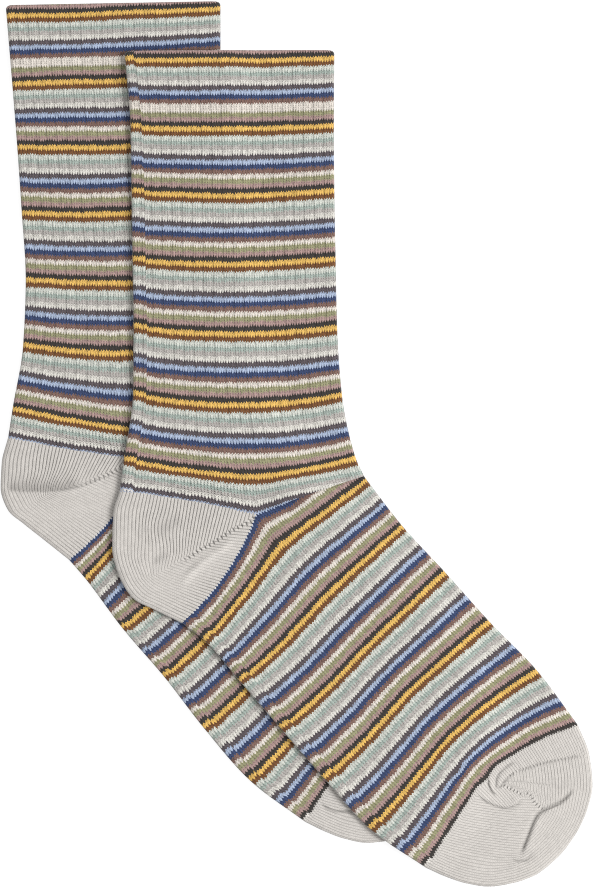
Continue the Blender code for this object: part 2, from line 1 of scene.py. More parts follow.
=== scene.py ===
"""A pair of striped crew socks laid flat, one lying across the other: their finished surfaces.

Each sock is five knitted pieces, as in the frame: welt, leg, heel, foot and toe. Every piece is a
closed shell of cloth, made of a fine outside sheet and a plain lining sheet joined at their rims.
Places on the cloth are courses (rows of stitches, counted from the cuff) and wales (columns of
stitches, counted from the fold at the back of the leg). They are kept in each piece's UV map, so
the stripes and stitches follow the cloth. Lengths are millimetres until a mesh is made.
"""

import logging
import math
from abc import ABC, abstractmethod
from dataclasses import dataclass
from enum import Enum
from typing import Callable, ClassVar, NamedTuple, Sequence

import bpy
import numpy as np
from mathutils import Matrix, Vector


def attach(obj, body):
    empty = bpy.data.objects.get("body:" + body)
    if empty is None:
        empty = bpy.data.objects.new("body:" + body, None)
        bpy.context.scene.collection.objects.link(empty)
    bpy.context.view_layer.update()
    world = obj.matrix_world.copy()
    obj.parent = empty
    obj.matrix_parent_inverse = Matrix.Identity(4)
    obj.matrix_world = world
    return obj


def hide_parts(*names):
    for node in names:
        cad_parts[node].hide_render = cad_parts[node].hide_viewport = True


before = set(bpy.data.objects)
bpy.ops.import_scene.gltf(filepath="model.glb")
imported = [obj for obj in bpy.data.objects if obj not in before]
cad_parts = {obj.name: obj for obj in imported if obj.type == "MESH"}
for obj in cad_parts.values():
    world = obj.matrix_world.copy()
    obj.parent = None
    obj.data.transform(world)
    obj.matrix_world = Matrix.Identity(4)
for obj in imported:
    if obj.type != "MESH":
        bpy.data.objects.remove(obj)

LOG = logging.getLogger("socks")

MM = 0.001
FACE_WALES = 80
GORE_WALE = 40
RIB_WALES = 4
WELT_END = 27
LEG_END = 188
FOOT_START = 189
TOE_START = 341
TOE_END = 379
RIB_FADE = (150.0, 182.0)
# The heel's courses on its foot side are numbered up to this one.
HEEL_NUMBERING = 1000.0

FAR = 99.0
HAIR = 0.01
CHUNK = 20000
MERGE_DISTANCE = 1e-7
SMOOTH_ANGLE = math.radians(50)

Array = np.ndarray


# ---------------------------------------------------------------- sizes of the two socks


class Section(NamedTuple):
    """One course line across a face: its ends at the folds, its gore wale and its swells.

    A bow is how far each half swells to its left, and the corner how sharply the line bends at
    the gore wale, from 0 for a smooth line to 1.
    """

    course: float
    back: tuple[float, float]
    middle: tuple[float, float]
    front: tuple[float, float]
    back_bow: float
    front_bow: float
    corner: float


class HeelPoint(NamedTuple):
    """A point of a heel, by its share of the way round the fold or from the gore to the fold."""

    share: float
    x: float
    y: float


class HeelShape(NamedTuple):
    """The fold round a heel, the bends of its wales and how far round the heel they are."""

    edges: tuple[HeelPoint, ...]
    bends: tuple[HeelPoint, ...]
    bend_share: float


def table(kind: type, *rows: tuple) -> tuple:
    """A table of records of one kind, from plain rows of their values."""
    return tuple(kind(*row) for row in rows)


UPPER_LEG = table(
    Section,
    (0, (-68.8, 157.0), (-27.0, 157.4), (15.2, 157.6), 0.1, 0.1, 0),
    (34, (-66.4, 126.6), (-25.8, 126.2), (15.0, 127.5), -0.3, -0.2, 0),
    (62, (-66.0, 100.7), (-25.4, 99.4), (15.2, 101.5), -0.2, -0.3, 0),
    (90, (-65.6, 73.5), (-25.0, 72.0), (15.7, 74.2), -0.4, -0.3, 0),
    (118, (-65.2, 46.7), (-24.6, 44.1), (16.3, 46.8), -0.7, -0.7, 0),
    (146, (-65.4, 19.8), (-23.0, 15.7), (18.2, 19.9), -1.1, -1.1, 0),
    (174, (-69.1, -6.3), (-18.2, -12.9), (23.6, -5.2), -0.8, -1.2, 0.2),
    (188, (-70.7, -18.6), (-16.0, -28.0), (27.0, -12.8), 0.7, 0.4, 1),
)
UPPER_FOOT = table(
    Section,
    (189, (-45.8, -71.6), (-16.0, -28.0), (27.0, -12.8), -3.2, 0.4, 1),
    (202, (-36.6, -78.8), (-6.2, -40.4), (27.3, -13.2), -0.6, -0.5, 0.4),
    (230, (-22.6, -94.9), (10.6, -62.0), (42.4, -32.8), -1.05, 0.3, 0),
    (258, (-6.2, -113.9), (27.0, -82.2), (59.4, -51.2), -1.0, 0.2, 0),
    (286, (11.1, -133.8), (44.2, -99.8), (77.0, -70.8), -0.85, 0.3, 0),
    (314, (29.6, -154.1), (61.4, -117.2), (96.4, -90.8), -0.3, 1.4, 0),
    (341, (51.8, -169.6), (75.8, -132.8), (112.6, -112.4), 0.5, 2.3, 0),
)
UPPER_TOE = table(
    Section,
    UPPER_FOOT[-1],
    (350, (59.8, -173.2), (83.0, -140.6), (117.2, -124.4), 0.3, 1.6, 0),
    (359, (68.6, -176.0), (90.0, -149.2), (118.5, -136.4), 0.2, 1.0, 0),
    (367, (77.4, -177.2), (96.0, -157.0), (116.6, -145.6), 0.1, 0.6, 0),
    (374, (87.4, -175.6), (100.4, -163.4), (113.0, -154.0), 0.0, 0.2, 0),
    (379, (95.4, -172.8), (102.2, -167.6), (108.2, -161.4), -0.2, -0.2, 0),
)
UPPER_HEEL = HeelShape(table(
    HeelPoint,
    (0.00, -70.6, -18.6),
    (0.16, -73.2, -28.0),
    (0.34, -73.6, -41.6),
    (0.50, -70.8, -53.0),
    (0.64, -65.0, -62.0),
    (0.80, -57.4, -66.0),
    (1.00, -45.8, -71.6),
), table(
    HeelPoint,
    (0.00, -16.0, -28.0),
    (0.25, -33.2, -38.8),
    (0.50, -47.2, -46.6),
    (0.75, -60.4, -54.6),
    (1.00, -74.6, -61.5),
), 0.55)
LOWER_LEG = table(
    Section,
    (0, (-116.4, 175.6), (-73.8, 176.4), (-30.4, 177.2), 0.0, 0.0, 0),
    (34, (-113.8, 144.2), (-73.0, 145.3), (-30.4, 148.4), 0.2, -0.2, 0),
    (62, (-111.8, 119.0), (-71.0, 119.0), (-30.0, 123.0), -0.2, -0.3, 0),
    (90, (-110.0, 92.8), (-69.4, 92.4), (-28.6, 96.8), -0.6, -0.3, 0),
    (118, (-108.4, 66.0), (-67.4, 64.6), (-27.0, 69.2), -0.5, -0.7, 0),
    (146, (-109.4, 40.0), (-66.2, 36.6), (-25.4, 42.8), -1.1, -1.1, 0),
    (174, (-113.6, 14.4), (-63.0, 6.0), (-20.6, 18.8), -0.8, -1.2, 0.2),
    (188, (-115.4, 2.8), (-59.8, -6.2), (-18.6, 10.4), -1.0, 0.4, 1),
)
LOWER_FOOT = table(
    Section,
    (189, (-91.0, -46.4), (-59.8, -6.2), (-18.6, 10.4), -3.2, 0.4, 1),
    (202, (-84.5, -53.9), (-52.6, -16.0), (-18.2, 9.2), -0.6, -0.5, 0.4),
    (230, (-69.7, -73.7), (-35.8, -40.7), (-2.6, -12.8), -1.1, 0.3, 0),
    (258, (-52.9, -93.3), (-19.5, -60.5), (14.2, -32.0), -0.7, 0.2, 0),
    (286, (-37.0, -113.8), (-3.0, -79.5), (31.0, -52.4), -1.1, 0.3, 0),
    (314, (-18.4, -134.9), (15.0, -98.4), (50.6, -73.2), -0.5, 1.4, 0),
    (341, (3.4, -151.2), (28.2, -114.8), (65.8, -95.6), 0.5, 2.3, 0),
)
LOWER_TOE = table(
    Section,
    LOWER_FOOT[-1],
    (350, (11.2, -155.0), (35.2, -122.9), (69.8, -107.9), 0.3, 1.6, 0),
    (359, (20.0, -158.2), (42.0, -131.7), (70.7, -119.9), 0.2, 1.0, 0),
    (367, (28.7, -159.7), (47.8, -139.7), (68.7, -129.0), 0.1, 0.6, 0),
    (374, (38.8, -158.4), (52.0, -146.3), (64.8, -137.2), 0.0, 0.2, 0),
    (379, (46.8, -155.9), (53.7, -150.6), (59.9, -144.5), -0.2, -0.2, 0),
)
LOWER_HEEL = HeelShape(table(
    HeelPoint,
    (0.00, -115.4, 2.8),
    (0.16, -118.0, -7.6),
    (0.34, -118.4, -17.6),
    (0.50, -115.4, -26.6),
    (0.64, -109.4, -31.8),
    (0.80, -101.8, -37.8),
    (1.00, -91.0, -46.4),
), table(
    HeelPoint,
    (0.00, -59.8, -6.2),
    (0.26, -79.0, -12.4),
    (0.58, -97.4, -19.6),
    (0.75, -104.6, -21.6),
    (0.90, -110.6, -23.6),
    (1.00, -117.8, -26.4),
), 0.5)


# ---------------------------------------------------------------- curves and plans


def smooth(share: Array) -> Array:
    """An S-curve from 0 to 1."""
    share = np.clip(share, 0.0, 1.0)
    return share * share * (3 - 2 * share)


def step_between(value: Array, ends: tuple[float, float]) -> Array:
    """0 before the first end and 1 past the second, smooth between them."""
    return smooth((value - ends[0]) / (ends[1] - ends[0]))


def hermite(t: Array, start: Array, leave: Array, end: Array, arrive: Array) -> Array:
    """Values on a cubic.

    Args:
        t: Shares of the way, from 0 to 1.
        start: The value at the start.
        leave: The slope there, over the whole way.
        end: The value at the end.
        arrive: The slope there, over the whole way.

    Returns:
        The value at each share.
    """
    return ((1 + 2 * t) * (1 - t) ** 2 * start + t * (1 - t) ** 2 * leave
            + t * t * (3 - 2 * t) * end + t * t * (t - 1) * arrive)


def spline(keys: Sequence[float], values: Array, at: Array) -> Array:
    """Values at many keys on a smooth curve through rows of values, with no overshoot.

    Args:
        keys: The rows' keys, rising.
        values: One row of values for each key.
        at: The keys to find values for.

    Returns:
        One row of values for each entry of at.
    """
    keys = np.asarray(keys, float)
    values = np.asarray(values, float)
    at = np.atleast_1d(np.asarray(at, float))
    pad = (1,) * (values.ndim - 1)
    steps = np.diff(keys).reshape(-1, *pad)
    slopes = np.diff(values, axis=0) / steps
    before, after = slopes[:-1], slopes[1:]
    same_way = before * after > 0
    weight_a = 2 * steps[1:] + steps[:-1]
    weight_b = steps[1:] + 2 * steps[:-1]
    harmonic = (weight_a + weight_b) / (
        weight_a / np.where(same_way, before, 1.0) + weight_b / np.where(same_way, after, 1.0)
    )
    tangents = np.concatenate([slopes[:1], np.where(same_way, harmonic, 0.0), slopes[-1:]])
    i = np.clip(np.searchsorted(keys, at) - 1, 0, len(keys) - 2)
    step = (keys[i + 1] - keys[i]).reshape(-1, *pad)
    t = (at - keys[i]).reshape(-1, *pad) / step
    return hermite(t, values[i], step * tangents[i], values[i + 1], step * tangents[i + 1])


class Plan:
    """Where each wale of each course of one piece lies on the table."""

    def __init__(self, sections: Sequence[Section]) -> None:
        """Read a table of sections.

        Args:
            sections: The piece's course lines, from the cuff towards the toe.
        """
        self.keys = [section.course for section in sections]
        self.stations = np.array([self.five_stations(section) for section in sections])
        self.corners = [section.corner for section in sections]

    @staticmethod
    def five_stations(section: Section) -> Array:
        """A section's points at its back fold, quarter, gore wale, three quarters and front."""
        back, middle, front = (np.array(p) for p in (section.back, section.middle, section.front))

        def halfway(start: Array, end: Array, bow: float) -> Array:
            """The middle of a chord, moved square to it."""
            chord = end - start
            return (start + end) / 2 + np.array([-chord[1], chord[0]]) / math.hypot(*chord) * bow

        quarter = halfway(back, middle, section.back_bow)
        three_quarters = halfway(middle, front, section.front_bow)
        return np.array([back, quarter, middle, three_quarters, front])

    def at(self, courses: Array, wales: Array) -> Array:
        """Plan points for each course and each wale.

        Args:
            courses: The course of each row.
            wales: The wale of each column, the same in all rows.

        Returns:
            Points as an array of rows, columns and (x, y).
        """
        p = spline(self.keys, self.stations, courses)
        corner = np.interp(courses, self.keys, self.corners)[:, None]

        def slope(i: int, step: int) -> Array:
            """The slope at a station, from it and the next two in one direction."""
            return (-3 * p[:, i] + 4 * p[:, i + step] - p[:, i + 2 * step]) / (2 * step)

        quarter, middle, three_quarters = ((p[:, i + 1] - p[:, i - 1]) / 2 for i in (1, 2, 3))
        ahead = middle + (slope(2, 1) - middle) * corner
        behind = middle + (slope(2, -1) - middle) * corner
        leave = np.stack([slope(0, 1), quarter, ahead, three_quarters], axis=1)
        arrive = np.stack([quarter, behind, three_quarters, slope(4, -1)], axis=1)
        spans = np.asarray(wales, float) / FACE_WALES * 4
        i = np.clip(spans.astype(int), 0, 3)
        t = (spans - i)[None, :, None]
        return hermite(t, p[:, i], leave[:, i], p[:, i + 1], arrive[:, i])


def curve_through(points: Sequence[tuple[float, float]], step: float = 0.5) -> Array:
    """Points close together on a smooth curve through a few."""
    points = np.array(points, float)
    keys = np.concatenate([[0.0], np.cumsum(np.linalg.norm(np.diff(points, axis=0), axis=1))])
    return spline(keys, points, np.linspace(0, keys[-1], max(2, round(keys[-1] / step))))


def beside(run: Array, plan: Array) -> tuple[Array, Array]:
    """Where plan points lie beside a run of points.

    Args:
        run: The run's points, in order.
        plan: Plan points, one a row.

    Returns:
        How far each plan point is to the left of the run, and how far along it.
    """
    start, step = run[:-1], np.diff(run, axis=0)
    length = np.linalg.norm(step, axis=1)
    before = np.concatenate([[0.0], np.cumsum(length)[:-1]])
    sides, alongs = [], []
    for part in np.array_split(plan, max(1, len(plan) // CHUNK)):
        toward = part[:, None] - start[None]
        share = np.clip((toward * step).sum(2) / length ** 2, 0, 1)
        distance = np.linalg.norm(toward - share[..., None] * step, axis=2)
        near, row = distance.argmin(1), np.arange(len(part))
        turn = step[near, 0] * toward[row, near, 1] - step[near, 1] * toward[row, near, 0]
        sides.append(np.copysign(distance[row, near], turn))
        alongs.append(before[near] + share[row, near] * length[near])
    return np.concatenate(sides), np.concatenate(alongs)


def within(ring: Array, plan: Array) -> Array:
    """Which plan points lie inside a closed ring of points."""
    start, end = ring, np.roll(ring, -1, axis=0)
    rise = np.where(end[:, 1] == start[:, 1], 1.0, end[:, 1] - start[:, 1])
    found = []
    for part in np.array_split(plan, max(1, len(plan) // CHUNK)):
        x, y = part[:, 0:1], part[:, 1:2]
        spans = (start[:, 1] > y) != (end[:, 1] > y)
        crossing = start[:, 0] + (y - start[:, 1]) / rise * (end[:, 0] - start[:, 0])
        found.append((spans & (x < crossing)).sum(1) % 2 == 1)
    return np.concatenate(found)


def run_length(run: Array) -> float:
    """The length of a run of points, in metres."""
    return np.linalg.norm(np.diff(run, axis=0), axis=1).sum() * MM


def nearness(plan: Array, place: tuple[float, float], reach: float) -> Array:
    """How near plan points are to a place: 1 at it, and almost nothing past twice the reach."""
    away = np.linalg.norm(plan - np.array(place), axis=-1)
    return np.exp(-(away / reach) ** 2)


def beside_line(points: Sequence[tuple[float, float]], plan: Array, margin: float, fade: float,
                lead: float = 0.0) -> tuple[Array, Array, Array, Array]:
    """Where plan points lie beside a curved line.

    Args:
        points: A few points of the line, in order.
        plan: Plan points, one a row.
        margin: How far outside the line's box plan points are looked at.
        fade: The distance over which the line fades out at each end.
        lead: How far before its start it begins to fade in.

    Returns:
        Which plan points are looked at, and for those how far they are to the left of the line,
        how far along it, and how strong the line is there.
    """
    run = curve_through(points)
    low, high = run.min(0) - margin, run.max(0) + margin
    close = ((plan > low) & (plan < high)).all(1)
    side, along = beside(run, plan[close])
    length = np.linalg.norm(np.diff(run, axis=0), axis=1).sum()
    return close, side, along, smooth(np.minimum(along + lead, length - along) / fade)


@dataclass(frozen=True)
class Nudge:
    """A small shift of the cloth in its own plane, round a place."""

    place: tuple[float, float]
    shift: tuple[float, float]
    reach: float

    def moved(self, plan: Array) -> Array:
        """Plan points with the shift applied; the last axis is (x, y)."""
        return plan + np.array(self.shift) * nearness(plan, self.place, self.reach)[..., None]


@dataclass(frozen=True)
class Stretch:
    """A place where the cloth is pulled sideways and its wales part, or slack and they close."""

    place: tuple[float, float]
    reach: float
    amount: float

    def at(self, plan: Array) -> Array:
        """How much wider the wales part at each plan point."""
        return self.amount * nearness(plan, self.place, self.reach)


@dataclass(frozen=True)
class Crease:
    """A soft trough or ridge in a face, along a curved line, with a raised lip on its right.

    Its points are on the table, from one end to the other. Widths are to the left and right of it.
    Its shade is painted shade along the line; below 0 it is a painted highlight.
    """

    points: tuple[tuple[float, float], ...]
    depth: float
    widths: tuple[float, float]
    lip: float = 0.0
    lip_width: float = 2.0
    lip_start: float = 0.5
    shade: float = 0.0
    shade_widths: tuple[float, float] = (0.6, 0.3)
    fade: float = 4.0
    margin: float = 9.0

    def marks(self, plan: Array) -> tuple[Array, Array]:
        """What the crease does at each plan point.

        Args:
            plan: Plan points, one a row.

        Returns:
            How far the face is pressed down, and the share of light taken off as painted shade;
            below 0, light added as a painted highlight.
        """
        close, side, _, strength = beside_line(self.points, plan, self.margin, self.fade)
        left = side > 0

        def bell(left_width: float, right_width: float) -> Array:
            """1 on the line, and almost nothing past twice the width to either side."""
            return np.exp(-(np.abs(side) / np.where(left, left_width, right_width)) ** 2)

        lip = self.lip * (1 - bell(*[self.lip_start] * 2)) * bell(*[self.lip_width] * 2)
        press, shade = np.zeros(len(plan)), np.zeros(len(plan))
        press[close] = (self.depth * bell(*self.widths) - np.where(left, 0, lip)) * strength
        shade[close] = self.shade * bell(*self.shade_widths) * strength
        return press, shade


@dataclass(frozen=True)
class Eyelets:
    """A row of small holes, where the knitting turned back at each course of a pocket."""

    points: tuple[tuple[float, float], ...]
    pitch: float = 1.9
    reach: float = 1.15
    strength: float = 1.0
    fade: float = 3.0
    margin: float = 3.0

    def marks(self, plan: Array) -> tuple[Array, Array, Array]:
        """Where each plan point lies beside the row.

        Args:
            plan: Plan points, one a row.

        Returns:
            How far along the row it is in pitches, how far to its side in holes' lengths, and how
            plain the holes are there.
        """
        close, side, along, strength = beside_line(self.points, plan, self.margin, self.fade,
                                                   self.fade)
        found = no_eyelets(len(plan))
        shown = along / self.pitch, side / self.reach, self.strength * strength
        for values, new in zip(found, shown):
            values[close] = new
        return found


def no_eyelets(count: int) -> tuple[Array, Array, Array]:
    """What Eyelets.marks says of plan points that are far from any eyelet."""
    return np.zeros(count), np.full(count, FAR), np.zeros(count)


@dataclass
class Surface:
    """What a sock lies on: the flat table, or the other sock with a fall past its edge."""

    outline: Array | None = None
    sock_height: float = 2.7
    welt_extra: float = 0.6
    welt_rise: tuple[float, float] = (139.0, 149.0)
    clearance: float = 1.0
    fall: float = 18.0

    def under(self, plan: Array) -> Array:
        """The height of the surface below each plan point.

        Args:
            plan: Plan points, one a row.

        Returns:
            One height for each point.
        """
        if self.outline is None:
            return np.zeros(len(plan))
        on_sock = self.sock_height + self.welt_extra * step_between(plan[:, 1], self.welt_rise)
        past_edge = self.distance_outside(plan) - self.clearance
        return on_sock * (1 - smooth(past_edge / self.fall))

    def distance_outside(self, plan: Array) -> Array:
        """How far each plan point lies outside the outline; 0 inside it."""
        ring = np.concatenate([self.outline, self.outline[:1]])
        return np.where(within(self.outline, plan), 0.0, np.abs(beside(ring, plan)[0]))


@dataclass(frozen=True)
class Jog:
    """The column where each round of knitting begins, and its stripes step by a course.

    Where its wale is below 0 it is out of sight, on the underside.
    """

    courses: tuple[float, ...]
    wales: tuple[float, ...]
    step: float = 1.0

    def at(self, wales: Array, courses: Array) -> Array:
        """How many courses the stripes are ahead at each place."""
        line = np.interp(courses, self.courses, self.wales)
        return np.where(wales < line, self.step, 0.0)


@dataclass(frozen=True)
class TurnedEdge:
    """How many courses the turned top edge of a welt lies before or past its first one."""

    wales: tuple[float, ...]
    before: tuple[float, ...]
    settled: float = 30.0

    def late(self, wales: Array, courses: Array) -> Array:
        """How many courses late the stripes come at each place."""
        fade = np.clip(1 - courses / self.settled, 0, 1)
        return np.interp(wales, self.wales, self.before) * fade


@dataclass
class Sock:
    """One sock's plan and the surface that it lies on."""

    name: str
    leg: Plan
    foot: Plan
    toe: Plan
    heel: HeelShape
    surface: Surface
    on_top: bool
    jog: Jog
    edge: TurnedEdge
    creases: Sequence[Crease] = ()
    eyelets: Sequence[Eyelets] = ()
    stretches: Sequence[Stretch] = ()
    nudges: Sequence[Nudge] = ()
    outline_steps: ClassVar[int] = 14
    outline_wales: ClassVar[int] = 10

    def nudged(self, plan: Array) -> Array:
        """Plan points with all the small shifts applied."""
        for nudge in self.nudges:
            plan = nudge.moved(plan)
        return plan

    def press(self, plan: Array) -> Array:
        """How far the creases press the face down at each plan point."""
        return sum((crease.marks(plan)[0] for crease in self.creases), np.zeros(len(plan)))

    def stretch(self, plan: Array) -> Array:
        """How much wider the wales part at each plan point, as a share."""
        return sum((place.at(plan) for place in self.stretches), np.zeros(len(plan)))

    def marks(self, plan: Array) -> dict[str, Array]:
        """What shows at each plan point of the face besides the knit, by attribute name: the
        creases' painted shade, how far the wales part, and where the eyelets are.
        """
        light = np.ones(len(plan))
        for crease in self.creases:
            light = light * (1 - crease.marks(plan)[1])
        nearest = no_eyelets(len(plan))
        for row in self.eyelets:
            found = row.marks(plan)
            nearer = np.abs(found[1]) < np.abs(nearest[1])
            nearest = [np.where(nearer, new, old) for new, old in zip(found, nearest)]
        return {"shade": 1 - light, "stretch": self.stretch(plan),
                **dict(zip(("seam_along", "seam_side", "eyelets"), nearest))}

    def outline(self) -> Array:
        """The sock's outline in plan, as a closed run of points."""
        down, up = [], []
        for plan in (self.leg, self.foot, self.toe):
            courses = np.linspace(plan.keys[0], plan.keys[-1], self.outline_steps)
            down.append(plan.at(courses, np.array([FACE_WALES]))[:, 0])
            up.insert(0, plan.at(courses[::-1], np.array([0]))[:, 0])
        tip = self.toe.at(np.array([TOE_END]), np.arange(70, 0, -self.outline_wales))[0]
        heel = np.array([(edge.x, edge.y) for edge in reversed(self.heel.edges)])
        run = np.concatenate([*down, tip, *up[:2], heel, up[2]])
        return run[np.linalg.norm(run - np.roll(run, 1, axis=0), axis=1) > HAIR]


# ---------------------------------------------------------------- cloth


UPPER_CREASES = (
    # The toe: the deep fold, the arc past its end, the curl beside the foot and the arcs round it,
    # each with painted shade along it.
    Crease(((89.2, -165.2), (90.4, -162.6), (92.6, -157.2), (95.4, -150.4), (97.0, -148.0),
            (99.4, -146.4), (105.8, -143.2), (108.2, -141.2), (109.8, -139.2), (110.6, -137.2)),
           depth=0.7, widths=(1.0, 0.5), lip=0.5, lip_width=3.0,
           shade=0.4, shade_widths=(0.8, 0.3), fade=5.0),
    Crease(((94.2, -163.2), (93.0, -165.2), (91.0, -166.6), (88.2, -166.8), (85.4, -166.0)),
           depth=0.35, widths=(0.6, 0.4), lip=0.25, lip_width=1.8,
           shade=0.3, shade_widths=(0.5, 0.3), fade=3.0),
    Crease(((80.2, -140.6), (78.6, -139.6), (77.4, -137.8), (76.7, -135.6), (76.7, -133.2)),
           depth=0.5, widths=(0.5, 0.35), lip=0.3, lip_width=1.2,
           shade=0.45, shade_widths=(0.4, 0.3), fade=2.0),
    Crease(((91.0, -141.2), (88.6, -143.6), (86.2, -145.0), (83.0, -145.6), (80.2, -145.0),
            (77.4, -144.0), (74.2, -142.0), (71.4, -140.0)),
           depth=0.4, widths=(0.6, 0.4), lip=0.3, lip_width=2.0,
           shade=0.28, shade_widths=(0.5, 0.3), fade=4.0),
    Crease(((79.8, -138.4), (79.9, -134.8), (81.0, -132.0), (83.4, -129.6), (87.4, -127.2)),
           depth=0.45, widths=(0.6, 0.7), shade=0.5, shade_widths=(0.4, 0.45), fade=2.0),
    Crease(((80.6, -138.0), (82.2, -136.2), (83.8, -134.2), (85.8, -132.6), (87.6, -131.4)),
           depth=0.4, widths=(0.4, 0.4), shade=0.45, shade_widths=(0.35, 0.35), fade=1.5),
    Crease(((87.0, -131.6), (93.4, -129.2), (99.4, -127.4), (107.8, -125.8), (114.6, -124.4)),
           depth=0.25, widths=(0.5, 0.8), shade=0.16, shade_widths=(0.5, 0.8), fade=4.0),
    # The heel: two soft dents, the ridge from the gore and the dip beside it; painted shade in the
    # dents and the dip, and a painted highlight along the ridge.
    Crease(((-58.6, -37.2), (-54.6, -34.0), (-50.6, -31.6), (-45.8, -28.0)),
           depth=0.45, widths=(2.5, 2.5), shade=0.13, shade_widths=(2.4, 2.4), fade=5.0),
    Crease(((-58.6, -48.4), (-55.4, -45.6), (-50.6, -43.6)),
           depth=0.45, widths=(1.6, 1.6), shade=0.15, shade_widths=(1.3, 1.6), fade=3.0),
    Crease(((-23.4, -36.6), (-27.4, -40.2), (-33.0, -44.4), (-38.6, -48.4), (-44.2, -54.0),
            (-48.6, -58.0)),
           depth=-0.7, widths=(1.6, 2.0), shade=-0.1, shade_widths=(1.3, 1.5), fade=8.0),
    Crease(((-36.6, -44.4), (-41.4, -48.2), (-46.6, -52.6)),
           depth=0.2, widths=(1.2, 1.2), shade=0.04, shade_widths=(1.4, 1.4), fade=4.0),
)
LOWER_CREASES = (
    # The heel's fold along its gore, with a band of painted shade above it, and the crease across
    # the toe, with painted shade along it.
    Crease(((-118.4, -17.0), (-114.0, -18.2), (-108.0, -18.6), (-102.0, -18.6), (-96.0, -18.4),
            (-90.6, -17.6), (-86.0, -16.6)),
           depth=0.8, widths=(3.2, 0.5), lip=0.4, lip_width=3.0,
           shade=0.3, shade_widths=(4.0, 0.25), fade=5.0, margin=12.0),
    Crease(((-90.6, -17.8), (-85.4, -16.4), (-80.6, -14.6), (-77.0, -13.2)),
           depth=0.3, widths=(1.6, 0.5), lip=0.2, lip_width=2.0,
           shade=0.06, shade_widths=(2.0, 0.3), fade=4.0),
    Crease(((25.4, -147.6), (21.8, -146.8), (16.6, -146.8), (9.0, -144.0)),
           depth=0.5, widths=(0.9, 0.4), lip=0.3, lip_width=2.0,
           shade=0.35, shade_widths=(0.7, 0.3), fade=3.0),
)
UPPER_EYELETS = (
    Eyelets(((-16.6, -29.0), (-17.8, -30.8), (-23.4, -33.2), (-28.6, -36.4), (-33.4, -39.6),
             (-38.6, -42.4), (-42.6, -45.2), (-48.2, -48.4)), fade=9.0),
    Eyelets(((82.6, -136.4), (85.4, -137.8), (87.8, -139.0), (90.6, -140.4)), 1.45, 0.8, 1.0, 1.0),
    Eyelets(((91.8, -139.6), (93.4, -140.4), (95.4, -143.6), (97.4, -145.2), (99.4, -146.6)),
            1.45, 0.9, 0.9, 1.0),
    Eyelets(((85.0, -132.8), (87.4, -131.2), (93.4, -129.2), (99.4, -127.4), (107.8, -125.8),
             (113.8, -124.6)), 1.45, 0.75, 0.55),
)
LOWER_EYELETS = (
    Eyelets(((-66.0, -8.4), (-70.6, -9.6), (-73.4, -11.2), (-77.0, -13.2), (-80.6, -14.4),
             (-85.8, -16.4), (-89.8, -18.0)), strength=0.75, fade=9.0),
)
UPPER_STRETCHES = table(
    Stretch,
    # The heel's leg side, its slack bend and ridge and its edge along the foot.
    ((-38.0, -26.0), 16.0, 0.9),
    ((-60.0, -28.0), 9.0, 0.4),
    ((-71.0, -38.0), 7.0, -0.4),
    ((-56.0, -55.0), 9.0, -0.6),
    ((-36.0, -46.0), 7.0, -0.7),
    ((-45.0, -54.0), 7.0, -0.4),
    ((-34.0, -60.0), 8.0, 0.2),
    ((-24.0, -40.0), 6.0, -0.4),
    # The toe's upper half, its sole half and its slack rim.
    ((105.0, -134.0), 8.0, 0.5),
    ((92.0, -140.0), 8.0, -0.3),
    ((106.0, -122.0), 9.0, -0.3),
    ((72.0, -156.0), 22.0, -0.2),
    ((110.0, -156.0), 18.0, -0.65),
    ((78.0, -174.0), 10.0, -0.3),
)
LOWER_STRETCHES = table(
    Stretch,
    ((-77.0, -3.0), 9.0, 0.9),
    ((-96.0, -6.0), 10.0, 0.8),
    ((-113.0, -6.0), 9.0, 0.5),
    ((-108.0, -28.0), 10.0, -0.5),
    ((-93.0, -26.0), 9.0, -0.6),
    ((-79.0, -21.0), 10.0, -0.75),
    ((36.0, -152.0), 16.0, -0.55),
)
LOWER_NUDGES = table(
    Nudge,
    # The heel's wales lean in the band of painted shade above its fold.
    ((-111.0, -17.0), (-1.0, 0.0), 4.0),
    ((-103.0, -17.6), (-1.5, 0.0), 4.5),
    ((-94.0, -16.6), (-1.3, 0.0), 4.5),
)
UPPER_NUDGES = table(
    Nudge,
    # The first course of the toe steps round the curl beside it.
    ((76.0, -134.0), (1.1, -0.3), 3.0),
    ((67.0, -139.5), (0.6, 0.2), 3.0),
    ((81.0, -128.5), (-0.4, 0.3), 3.5),
    ((64.0, -130.5), (0.5, -0.6), 2.5),
    # The heel's dents bend its wales.
    ((-55.0, -33.0), (-1.3, 0.0), 6.0),
    ((-50.0, -44.0), (1.2, 0.4), 6.0),
    ((-62.0, -46.0), (-0.9, 0.0), 5.0),
)
UPPER_JOG = Jog((0, 15, 30, 60, 120, 150, 165, 188, 258),
                (3.5, 4.0, 4.5, 5.0, 5.5, 5.0, 4.0, 3.75, 4.0))
LOWER_JOG = Jog((0, 215, 222, 228, 258, 341), (-5.0, -5.0, -1.0, 1.5, 3.0, 3.5))
UPPER_EDGE = TurnedEdge((0, 9, 20, 30, 40, 50, 60, 70, 80),
                        (0.0, 0.0, 0.3, 0.2, 0.1, 0.5, 0.3, -0.1, -0.4))
LOWER_EDGE = TurnedEdge((0, 12, 20, 28, 40, 50, 60, 80),
                        (0.5, 0.6, 1.1, 0.9, 0.3, -0.1, 0.1, -0.5))


